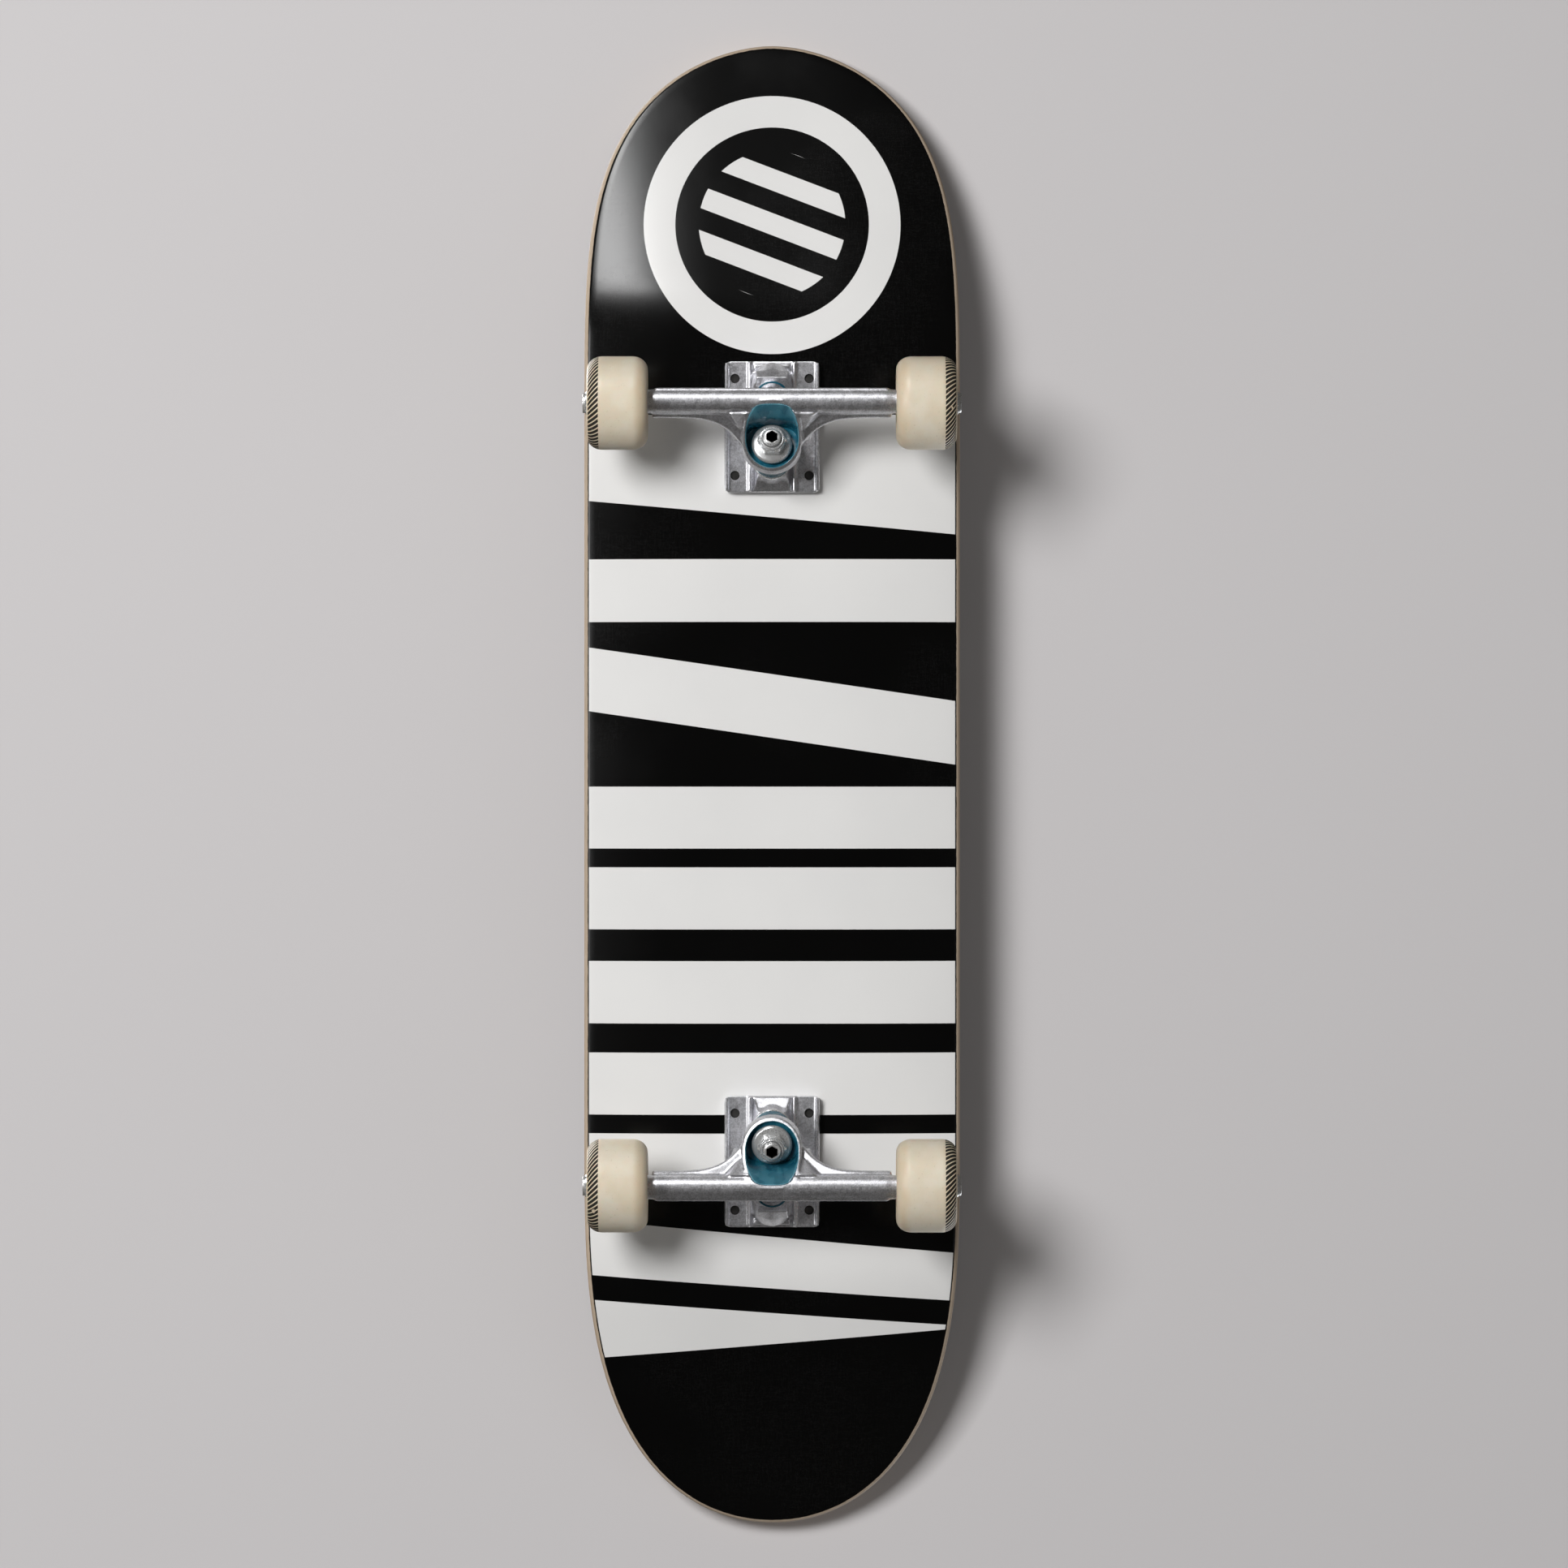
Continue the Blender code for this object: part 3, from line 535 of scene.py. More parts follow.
def urethaneCream(treadEnd, girth):
    # the turned map's second number runs along the profile, in millimetres: outboard first, then back
    look = wheelLook
    made, tree, shader = newMaterial("creamUrethane", IOR=1.5, Subsurface_Weight=0.15, Subsurface_Scale=0.005)
    place, _ = objectPlace(tree)
    turn, along = uvPlace(tree, "turned")
    cloud = noise(tree, place, 70.0, 4.0)
    speck = noise(tree, place, 900.0, 2.0).step(0.68, 0.74)
    scratch = effect(tree, scratchGroup, place, Scale=1.2)
    base = mixColors(tree, cloud.step(0.35, 0.7), look["cream"], look["tread"])
    outer = along - treadEnd
    # painted shade: the shoulders and sides of the wheel are mixed towards the darker warm colour
    paintedShoulderShade = (along.atMost(girth - along) - treadEnd).step(-0.4, 5.0)
    base = mixColors(tree, paintedShoulderShade * 0.45, base, look["shoulderShadeColor"])
    base = mixColors(tree, speck * 0.35, base, (0.34, 0.27, 0.17))
    base = mixColors(tree, scratch["Patches"] * 0.10 + scratch["Lines"] * 0.25, base, (0.45, 0.38, 0.27))
    stripe = (turn * look["hatchCount"] + outer * look["hatchLean"]).use("FRACT")
    stripe = (stripe - 0.5).size().step(0.31, 0.38)
    band = outer.step(look["hatchFrom"], look["hatchFrom"] + 0.3)
    band = band * (1.0 - outer.step(look["hatchTo"] - 0.3, look["hatchTo"]))
    worn = noise(tree, place, 260.0, 3.0).step(0.26, 0.34)
    ink = band * (1.0 - stripe) * worn
    feed(tree, shader, Base_Color=mixColors(tree, ink * 0.97, base, (0.006, 0.006, 0.006)),
         Roughness=cloud * 0.16 + 0.36 + ink * 0.25 + scratch["Lines"] * 0.2,
         Specular_IOR_Level=0.5 - ink * 0.35,
         Normal=bump(tree, cloud * 0.4 + noise(tree, place, 1600.0, 3.0) * 0.6, 0.00006, 0.6))
    return made


castAluminium = metal("castAluminium")
machinedAluminium = metal("machinedAluminium")
zincSteel = metal("zincSteel")
bearingSteel = metal("bearingSteel")
blackSteel = metal("blackSteel")
tealUrethane = urethaneTeal()
print("materials ready")

# deck and grip tape

deck = {
    "halfLength": 415.5, "taperStart": 200.0, "nosePowers": (4.06, 1.83), "tailPowers": (3.16, 2.07),
    "edgeRadius": 4.0, "kickAngle": radians(20.0), "kickRadius": 120.0, "bendOutboard": 39.0,
    "concaveRise": 8.5, "concavePower": 1.9, "flatHalf": 31.0, "tipShare": 0.55,
    "gripThickness": 0.7, "boltHole": 2.6, "headHole": 4.9, "headDepth": 3.2, "plies": 7,
}
graphic = {
    "ringStretch": 0.976, "ring": (313.4, 71.9, 54.2),  # its middle, outer radius and inner radius
    "barSpacing": 25.0, "barWidth": 12.5, "barReach": 41.0, "barLean": 0.38,
    # each band: its nose-side edge at the left and right, then its tail-side edge at the left and right
    "bands": ((206.0, 206.0, 158.2, 139.2), (125.4, 125.4, 90.4, 90.4), (76.5, 46.0, 41.0, 10.5),
              (-1.5, -1.5, -36.0, -36.0), (-46.5, -46.5, -81.1, -81.1), (-98.8, -98.8, -133.6, -133.6),
              (-149.9, -149.9, -184.5, -184.5), (-195.0, -195.0, -231.0, -231.0),
              (-243.0, -262.0, -274.0, -289.0), (-288.0, -303.0, -322.0, -304.5)),
    "margin": 3.4, "bareEdge": 2.7,
    "ink": ((0.0012, 0.0012, 0.0012), (0.0022, 0.0022, 0.0022)),
    "chalk": ((0.74, 0.745, 0.755), (0.82, 0.825, 0.83)),
}
boltPattern = (54.0, 41.3)
deckTop = deckThickness + touchGap + deck["gripThickness"]  # above the underside, with the grip tape
bend = {  # named as the inputs of the geometry tree that bends the deck
    "Front Bend": abs(truckX["front"]) + deck["bendOutboard"],
    "Rear Bend": abs(truckX["rear"]) + deck["bendOutboard"], "Kick Radius": deck["kickRadius"],
    "Kick Angle": deck["kickAngle"], "Rise": deck["concaveRise"], "Power": deck["concavePower"],
    "Flat Half": deck["flatHalf"], "Half Width": deckHalfWidth, "Taper Start": deck["taperStart"],
    "Half Length": deck["halfLength"], "Tip Share": deck["tipShare"],
    "Middle": deckUnderside + deckThickness / 2,
}


def endHalfWidth(x):
    longPower, widePower = deck["nosePowers"] if x > 0 else deck["tailPowers"]
    share = max(0.0, abs(x) - deck["taperStart"]) / (deck["halfLength"] - deck["taperStart"])
    return deckHalfWidth * max(0.0, 1 - share ** longPower) ** (1 / widePower)


def deckOutline(endSteps=44, middleSteps=30):
    start = deck["taperStart"]
    span = deck["halfLength"] - start
    tip = [start + span * sin(pi / 2 * step / endSteps) for step in range(endSteps, 0, -1)]
    middle = [start * (1 - 2 * step / middleSteps) for step in range(middleSteps + 1)]
    side = [(x, endHalfWidth(x)) for x in tip + middle + [-x for x in reversed(tip)]]
    return side + [(x, -y) for x, y in reversed(side[1:-1])]


def insetOutline(outline, distance):
    inset = []
    for step, (x, y) in enumerate(outline):
        before, after = outline[step - 1], outline[(step + 1) % len(outline)]
        run = Vector((after[0] - before[0], after[1] - before[1])).normalized()
        inset.append((x - run.y * distance, y + run.x * distance))
    return inset


def flatSheet(sections):
    # a flat shell; each section is (share of the way out from the spine, inset, height)
    outline = deckOutline()
    spineEnd = deck["halfLength"] - deckHalfWidth
    bm = bmesh.new()
    plyMap = bm.loops.layers.uv.new("plyMap")
    rings = []
    for share, inset, height in sections:
        ring = []
        for x, y in insetOutline(outline, inset):
            held = max(-spineEnd, min(spineEnd, x))
            ring.append(bm.verts.new((held + (x - held) * share, y * share, height)))
        rings.append((ring, (height, inset + (1 - share) * deckHalfWidth)))
    for (inner, innerMark), (outer, outerMark) in zip(rings, rings[1:]):
        for step in range(len(outline)):
            after = (step + 1) % len(outline)
            face = bm.faces.new((inner[step], inner[after], outer[after], outer[step]))
            for loop, mark in zip(face.loops, (innerMark, innerMark, outerMark, outerMark)):
                loop[plyMap].uv = mark
    bmesh.ops.remove_doubles(bm, verts=bm.verts, dist=0.005)
    bmesh.ops.recalc_face_normals(bm, faces=bm.faces)
    return meshFrom(bm)


def makeBendTree():
    # lifts a flat sheet onto the deck's form: kicked ends and a concave across it
    tree, start, given = geometryTree("deckBend", bend)
    where = addNode(tree, "GeometryNodeInputPosition")
    parts = addNode(tree, "ShaderNodeSeparateXYZ", {"Vector": where.outputs[0]})
    x, y, height = (Field(tree, parts.outputs[i]) for i in range(3))
    bendStart = (x > 0.0) * (given["Front Bend"] - given["Rear Bend"]) + given["Rear Bend"]
    past = (x.size() - bendStart).atLeast(0.0)
    radius = given["Kick Radius"]
    inArc = past.atMost(radius * given["Kick Angle"].use("SINE"))
    reach = (radius * radius - inArc * inArc).use("SQRT")
    kick = radius - reach + (past - inArc) * given["Kick Angle"].use("TANGENT")
    taper = given["Half Length"] - given["Taper Start"]
    fade = (x.size() - given["Taper Start"]).atLeast(0.0) / taper
    keep = 1.0 - (1.0 - given["Tip Share"]) * fade
    wide = given["Half Width"] - given["Flat Half"]
    share = (y.size() - given["Flat Half"]).atLeast(0.0) / wide
    dish = given["Rise"] * share.use("POWER", given["Power"])
    slopeX = inArc / reach - dish * (1.0 - given["Tip Share"]) / taper * (fade > 0.0)
    slopeX = slopeX * x.use("SIGN")
    steep = share.use("POWER", given["Power"] - 1.0)
    slopeY = given["Rise"] * given["Power"] * steep / wide * keep * y.use("SIGN")
    length = (slopeX * slopeX + slopeY * slopeY + 1.0).use("SQRT")
    lifted = given["Middle"] + kick + dish * keep
    place = addNode(tree, "ShaderNodeCombineXYZ", {
        "X": x - slopeX / length * height, "Y": y - slopeY / length * height, "Z": lifted + height / length})
    bent = addNode(tree, "GeometryNodeSetPosition",
                   {"Geometry": start.outputs["Geometry"], "Position": place.outputs[0]})
    endTree(tree, start, bent.outputs[0])
    return tree


def boltPlaces(end):
    return [(truckX[end] + sideX * boltPattern[0] / 2, sideY * boltPattern[1] / 2)
            for sideX in (1, -1) for sideY in (-1, 1)]


def drilled(mesh):
    narrow, wide = deck["boltHole"], deck["headHole"]
    cone, above = deckTop - deck["headDepth"] - touchGap, deckTop + 1
    hole = turned([(0, -1), (narrow, -1), (narrow, cone), (wide, deckTop), (wide, above), (0, above)], 32)
    places = [Matrix.Translation((x, y, deckUnderside)) for end in ends for x, y in boltPlaces(end)]
    return carved(mesh, joined([moved(hole, place) for place in places]))


def deckPaint():
    made, tree, shader = newMaterial("paintedMaple", IOR=1.5, Specular_IOR_Level=0.13, Coat_Roughness=0.18,
                                     Coat_IOR=1.5)
    place, (x, y, z) = objectPlace(tree)
    x, y = x * 1000.0, y * 1000.0
    through, inset = uvPlace(tree, "plyMap")
    # plain bands across the deck
    across = (y + deckHalfWidth) / (2 * deckHalfWidth)
    white = None
    for noseLeft, noseRight, tailLeft, tailRight in graphic["bands"]:
        top = across * (noseRight - noseLeft) + noseLeft
        bottom = across * (tailRight - tailLeft) + tailLeft
        band = (top - x).past(0.0) * (x - bottom).past(0.0)
        white = band if white is None else white.use("MAXIMUM", band)
    # a plain ring with slanted bars in it
    ringX, outer, inner = graphic["ring"]
    along = (x - ringX) * graphic["ringStretch"]  # drawn longer, since the kick tilts it
    away = (along * along + y * y).use("SQRT")
    ring = away.past(inner) * (1.0 - away.past(outer))
    slant = (along + y * graphic["barLean"]) / graphic["barSpacing"] + 0.5
    bar = (slant.use("FRACT") - 0.5).size() * graphic["barSpacing"]
    bars = (1.0 - bar.past(graphic["barWidth"] / 2)) * (1.0 - away.past(graphic["barReach"]))
    white = white.use("MAXIMUM", ring).use("MAXIMUM", bars) * inset.past(graphic["margin"], 0.2)
    scratch = effect(tree, scratchGroup, place, Scale=0.8)
    cloud = noise(tree, place, 14.0, 4.0)
    ink = mixColors(tree, cloud, *graphic["ink"])
    chalk = mixColors(tree, cloud, *graphic["chalk"])
    paint = mixColors(tree, white, ink, chalk)
    paint = mixColors(tree, scratch["Lines"] * 0.03, paint, (0.30, 0.30, 0.31))
    # the bare plies of the edge
    grain = noise(tree, place, 90.0, 6.0, 0.65, (1.0, 1.0, 14.0))
    fibre = noise(tree, place, 420.0, 3.0, 0.6, (0.12, 1.0, 1.0))
    layer = (through / deckThickness + 0.5) * deck["plies"]
    ply = layer.use("FRACT")
    glue = 1.0 - ply.step(0.03, 0.10) * (1.0 - ply.step(0.90, 0.97))
    crossPly = (layer.use("FLOOR") * 0.5).use("FRACT") > 0.2
    wood = mixColors(tree, grain, (0.42, 0.33, 0.24), (0.58, 0.49, 0.40))
    wood = mixColors(tree, crossPly * 0.35 + fibre * 0.15, wood, (0.40, 0.27, 0.16))
    wood = mixColors(tree, glue * 0.55, wood, (0.20, 0.12, 0.07))
    rough = noise(tree, place, 240.0, 3.0) * 0.5
    painted = (inset + rough).step(graphic["bareEdge"] - 0.05, graphic["bareEdge"] + 0.35) * (through < 0.0)
    topSide = (through > (deckThickness / 2 - 0.3)) * 0.8
    wood = mixColors(tree, topSide, wood, (0.03, 0.03, 0.03))
    peel = noise(tree, place, 130.0, 2.0)
    relief = peel * painted * 0.25 + white * painted * 0.3 + (grain + fibre) * (1.0 - painted)
    feed(tree, shader, Base_Color=mixColors(tree, painted, wood, paint),
         Roughness=0.62 - painted * 0.42 + scratch["Patches"] * painted * 0.06 + scratch["Lines"] * 0.1,
         Coat_Weight=painted * 0.1,
         Normal=bump(tree, relief, 0.00006, 0.8))
    return made


def gripPaper():
    made, tree, shader = newMaterial("gripGrit", IOR=1.6)
    place, _ = objectPlace(tree)
    cells = addNode(tree, "ShaderNodeTexVoronoi", {"Vector": place, "Scale": 1500.0})
    grit = 1.0 - Field(tree, cells.outputs["Distance"]).step(0.0, 0.6)
    sparkle = noise(tree, place, 2600.0, 2.0).step(0.66, 0.72)
    worn = noise(tree, place, 11.0, 5.0, 0.6).step(0.42, 0.75)
    scratch = effect(tree, scratchGroup, place, Scale=0.7)
    base = mixColors(tree, grit, (0.006, 0.006, 0.006), (0.030, 0.030, 0.031))
    base = mixColors(tree, worn * 0.35, base, (0.050, 0.048, 0.046))
    base = mixColors(tree, sparkle * 0.5, base, (0.20, 0.20, 0.20))
    feed(tree, shader, Base_Color=mixColors(tree, scratch["Lines"] * 0.3, base, (0.10, 0.10, 0.10)),
         Roughness=grit * 0.2 + 0.66 - sparkle * 0.25, Normal=bump(tree, grit, 0.00035, 0.9))
    return made


def makeDeck():
    paintedMaple, gripGrit = deckPaint(), gripPaper()
    tree = makeBendTree()
    half, soft = deckThickness / 2, deck["edgeRadius"]
    shares = [step / 14 for step in range(14)] + [0.97, 1.0]
    angles = [radians(step * 12.857) for step in range(1, 8)]
    corner = [(1.0, soft * (1 - sin(a)), half - soft * (1 - cos(a))) for a in angles]
    top = [(share, soft, half) for share in shares] + corner
    bottom = [(share, inset, -height) for share, inset, height in reversed(top)]
    body = drilled(grown(tree, flatSheet(top + bottom), paintedMaple, **bend))
    piece("deck_plywood", moved(body, toMetres), "board", paintedMaple, ["deck"], 60.0)
    high = half + touchGap + deck["gripThickness"]
    over = [(share, soft, high) for share in shares] + [(1.0, soft - 0.25, high - 0.25)]
    under = [(1.0, soft - 0.25, half + 0.02)] + [(share, soft, half + 0.02) for share in reversed(shares)]
    sheet = drilled(grown(tree, flatSheet(over + under), gripGrit, **bend))
    piece("grip_sheet", moved(sheet, toMetres), "board", gripGrit, ["grip_tape"], 60.0)
    print("deck and grip tape ready")


# mounting bolts and threads

bolt = {  # named as the inputs of the geometry tree; the shank hangs 0.5 mm lower than its length says
    "Head Radius": 4.6, "Head Depth": deck["headDepth"], "Rim": 0.3, "Shank Radius": 2.15,
    "Length": deckTop + 4.4, "Pitch": 0.8, "Ridge": 0.32, "Slot Length": 4.6, "Slot Width": 0.95,
    "Slot Depth": 1.9,
}


def makeThreadNodes(tree, radius, pitch, length, ridge):
    # a ridge that winds down a shank from the origin
    turns = length / pitch
    spiral = addNode(tree, "GeometryNodeCurveSpiral", {
        "Resolution": 18, "Rotations": turns, "Start Radius": radius, "End Radius": radius, "Height": length})
    section = addNode(tree, "GeometryNodeCurvePrimitiveCircle", {"Resolution": 4, "Radius": ridge})
    tube = addNode(tree, "GeometryNodeCurveToMesh", {
        "Curve": spiral.outputs[0], "Profile Curve": section.outputs[0], "Fill Caps": True})
    return tube.outputs[0]


def shifted(tree, geometry, z):
    offset = addNode(tree, "ShaderNodeCombineXYZ", {"Z": z})
    return addNode(tree, "GeometryNodeTransform",
                   {"Geometry": geometry, "Translation": offset.outputs[0]}).outputs[0]


def makeBoltTree():
    # one cross-head countersunk bolt on each point of the mesh given
    tree, start, given = geometryTree("crossHeadBolts", bolt)
    shank = addNode(tree, "GeometryNodeMeshCylinder",
                    {"Vertices": 24, "Radius": given["Shank Radius"], "Depth": given["Length"]})
    cone = addNode(tree, "GeometryNodeMeshCone", {
        "Vertices": 48, "Radius Top": given["Head Radius"], "Radius Bottom": given["Shank Radius"] * 0.98,
        "Depth": given["Head Depth"] - given["Rim"]})
    rim = addNode(tree, "GeometryNodeMeshCylinder",
                  {"Vertices": 48, "Radius": given["Head Radius"], "Depth": given["Rim"] * 1.02})
    parts = [shifted(tree, shank.outputs[0], given["Length"] * -0.5 - 0.5),
             shifted(tree, cone.outputs[0], given["Head Depth"] * -1.0),
             shifted(tree, rim.outputs[0], given["Rim"] * -0.5)]
    whole = addNode(tree, "GeometryNodeMeshBoolean", operation="UNION", solver="EXACT")
    for part in parts:
        tree.links.new(part, whole.inputs["Mesh 2"])
    slots = []
    for long, wide in (("Slot Length", "Slot Width"), ("Slot Width", "Slot Length")):
        size = addNode(tree, "ShaderNodeCombineXYZ",
                       {"X": given[long], "Y": given[wide], "Z": given["Slot Depth"] * 2.0})
        slots.append(addNode(tree, "GeometryNodeMeshCube", {"Size": size.outputs[0]}).outputs[0])
    cross = addNode(tree, "GeometryNodeMeshBoolean", operation="UNION", solver="EXACT")
    for slot in slots:
        tree.links.new(slot, cross.inputs["Mesh 2"])
    cut = addNode(tree, "GeometryNodeMeshBoolean",
                  {"Mesh 1": whole.outputs[0], "Mesh 2": cross.outputs[0]}, operation="DIFFERENCE",
                  solver="EXACT")
    threadLength = given["Length"] - given["Head Depth"] - 1.0
    thread = makeThreadNodes(tree, given["Shank Radius"], given["Pitch"], threadLength, given["Ridge"])
    both = addNode(tree, "GeometryNodeJoinGeometry")
    tree.links.new(cut.outputs[0], both.inputs[0])
    tree.links.new(shifted(tree, thread, given["Length"] * -1.0), both.inputs[0])
    copies = addNode(tree, "GeometryNodeInstanceOnPoints",
                     {"Points": start.outputs["Geometry"], "Instance": both.outputs[0]})
    endTree(tree, start, copies.outputs[0])
    return tree


def makeThreadTree():
    tree, start, given = geometryTree("threadRidge",
                                      {"Radius": 4.0, "Pitch": 1.0, "Length": 8.0, "Ridge": 0.3})
    endTree(tree, start,
            makeThreadNodes(tree, *(given[label] for label in ("Radius", "Pitch", "Length", "Ridge"))))
    return tree


def makeMountingBolts():
    bm = bmesh.new()
    for end in ends:
        for x, y in boltPlaces(end):
            bm.verts.new((x, y, deckUnderside + deckTop))
    made = grown(makeBoltTree(), meshFrom(bm), blackSteel, **bolt)
    nodes = [f"mounting_bolt_{end}_{number}" for end in ends for number in (1, 2, 3, 4)]
    piece("mounting_bolts", moved(made, toMetres), "board", blackSteel, nodes, 30.0)
    print("mounting bolts ready")


threadTree = makeThreadTree()


def thread(radius, pitch, start, end, ridge=0.28):
    made = grown(threadTree, bpy.data.meshes.new("empty"), zincSteel, Radius=radius, Pitch=pitch,
                 Length=end - start, Ridge=ridge)
    made.materials.clear()
    made.transform(Matrix.Translation((0, 0, start)))
    return made


# nuts


def hexNut(flats, start, end, bore, collar, collarRadius, segments=96):
    # a chamfered hexagon with a round collar that holds the locking ring
    corner = flats / 2 / cos(pi / 6)
    chamfer = (corner - flats / 2) * 0.9
    levels = [(start, flats / 2 + 0.1), (start + chamfer * 0.55, corner * 0.985),
              (end - chamfer * 0.7, corner * 0.985), (end, flats / 2 - 0.1)]
    rings = []
    angles = [2 * pi * step / segments for step in range(segments)]
    for height, limit in levels:
        ring = []
        for angle in angles:
            flat = flats / 2 / cos((angle + pi / 6) % (pi / 3) - pi / 6)
            radius = min(flat, limit)
            ring.append((radius * cos(angle), radius * sin(angle), height))
        rings.append(ring)
    top = rounded([(collarRadius, end), (collarRadius - 0.2, end + collar), (bore + 0.9, end + collar + 0.1),
                   (bore, end + collar - 0.6), (bore, start), (bore + 0.4, start - 0.01)], 0.3)
    rings += [[(r * cos(a), r * sin(a), h) for a in angles] for r, h in top]
    return skin(rings, closed=True)


# trucks, drawn in the truck's own frame: origin at the middle of the bolt pattern on the deck's
# underside, +X outboard, +Z up into the deck

kingpin = {"lean": radians(17.0), "foot": -24.2, "radius": 4.76, "headRadius": 7.6, "headStart": 3.6,
           "headEnd": 8.6, "bossEnd": 14.0, "bossRadius": 9.8, "nutStart": 47.8, "nutEnd": 55.3,
           "nutFlats": 14.3, "tip": 58.0, "socketFlats": 6.2, "socketDepth": 12.0, "headHole": 7.9,
           "bore": 5.2}
cushion = {"boardStart": 15.8, "boardEnd": 29.5, "boardRadius": 11.0, "roadStart": 35.3, "roadEnd": 46.0,
           "floor": 42.0, "wall": 0.45, "lipRoom": 11.37, "lowBore": 6.2, "highBore": 7.8}
# radius, level of the flat side, level of the lip's edge, and the side that it faces
washer = {"board": (10.6, 14.3, 17.5, 1), "road": (11.2, 46.3, 44.3, -1)}
hanger = {"barRadius": 7.2, "endRadius": 6.6, "barShift": 0.9, "narrowFrom": 66.5, "end": 71.75,
          "axleBore": 4.37, "webReach": 66.0, "webDepth": 15.5, "webPower": 4.8, "seatSide": 14.9,
          "seatApex": 13.3, "seatFloor": 35.0, "holeRadius": 7.2, "rimWall": 1.6, "rimLow": (-15.6, 41.6),
          "rimHigh": (15.4, 66.6), "ringStart": 29.7, "footShrink": 3.0, "reach": 11.4, "flareStart": 56.0,
          "flareHeight": 9.0, "flareOut": 4.6, "mostReach": 16.2, "squareness": 3.3, "voxel": 0.62,
          "smoothing": 7}
pivot = {"x": 22.5, "depth": 14.0, "slope": radians(55.0), "ball": 5.4, "mouth": 9.0, "mouthRadius": 7.3,
         "cupRadius": 8.8, "cupFloor": 7.6, "cupHole": 9.1, "housing": 11.4}
base = {"length": 73.0, "width": 53.0, "thickness": 5.8, "corner": 3.2, "voxel": 0.5, "smoothing": 5}

road = Vector((sin(kingpin["lean"]), 0, -cos(kingpin["lean"])))
sideways = Vector((cos(kingpin["lean"]), 0, sin(kingpin["lean"])))
# local Z runs down the kingpin and local X points outboard
kingpinTurn = Matrix((sideways, (0, -1, 0), road)).transposed().to_4x4()
kingpinFrame = Matrix.Translation((kingpin["foot"], 0, 0)) @ kingpinTurn
pivotDown = Vector((-cos(pivot["slope"]), 0, -sin(pivot["slope"])))
pivotSide = Vector((sin(pivot["slope"]), 0, -cos(pivot["slope"])))
pivotMiddle = Vector((pivot["x"], 0, -pivot["depth"]))
pivotFrame = Matrix.Translation(pivotMiddle) @ Matrix((pivotSide, (0, 1, 0), pivotDown)).transposed().to_4x4()
axleFrame = Matrix.Translation((axleX, 0, axleZ)) @ Matrix.Rotation(-pi / 2, 4, "X")


def seatRadius(angle, reach, grow=0.0):
    # the seat is round towards the middle of the board and squared off along the axle
    across, along = sin(angle) / hanger["seatSide"], cos(angle)
    if along > 0:
        power = hanger["squareness"]
        return (abs(along / reach) ** power + abs(across) ** power) ** (-1 / power) + grow
    return ((along / hanger["seatApex"]) ** 2 + across ** 2) ** -0.5 + grow


def seatReach(level):
    # the wall beside the axle stands straight, then flares over the bar
    flare = max(0.0, level - hanger["flareStart"]) / hanger["flareHeight"]
    return min(hanger["reach"] + hanger["flareOut"] * flare ** 1.5, hanger["mostReach"])


def rimLevel(offset):
    (lowX, low), (highX, high) = hanger["rimLow"], hanger["rimHigh"]
    return low + (high - low) * (offset - lowX) / (highX - lowX)


seatAngles = [2 * pi * step / 128 for step in range(128)]


def seatRing(level, grow):
    ring = []
    for angle in seatAngles:
        height = level
        if callable(level):  # a level that follows the sloping rim
            height = hanger["flareStart"]
            for _ in range(4):
                height = level(seatRadius(angle, seatReach(height), grow) * cos(angle))
        radius = seatRadius(angle, seatReach(height), grow)
        ring.append((radius * cos(angle), radius * sin(angle), height))
    return ring


def webEdge(y):
    share = max(0.0, (hanger["webReach"] - abs(y)) / 50.0)
    return axleX - 8.1 - hanger["webDepth"] * share ** hanger["webPower"]


def makeWeb():
    stations = [hanger["webReach"] - step * (hanger["webReach"] - 15.0) / 20 for step in range(21)]
    stations += [-y for y in reversed(stations)]
    rings = []
    for y in stations:
        edge = webEdge(y)
        drop = (axleX - 8.0 - edge) / hanger["webDepth"]
        low, high = axleZ + 1.0 + 8.0 * drop, axleZ + 6.5 + 12.5 * drop
        rings.append([(axleX, y, axleZ - 1.0), (edge + 1.0, y, low), (edge, y, low + 1.2), (edge, y, high),
                      (axleX, y, axleZ + 6.0)])
    caps = [[tuple(sum((Vector(p) for p in ring), Vector()) / 5)] for ring in (rings[0], rings[-1])]
    return skin([caps[0]] + rings + [caps[1]])


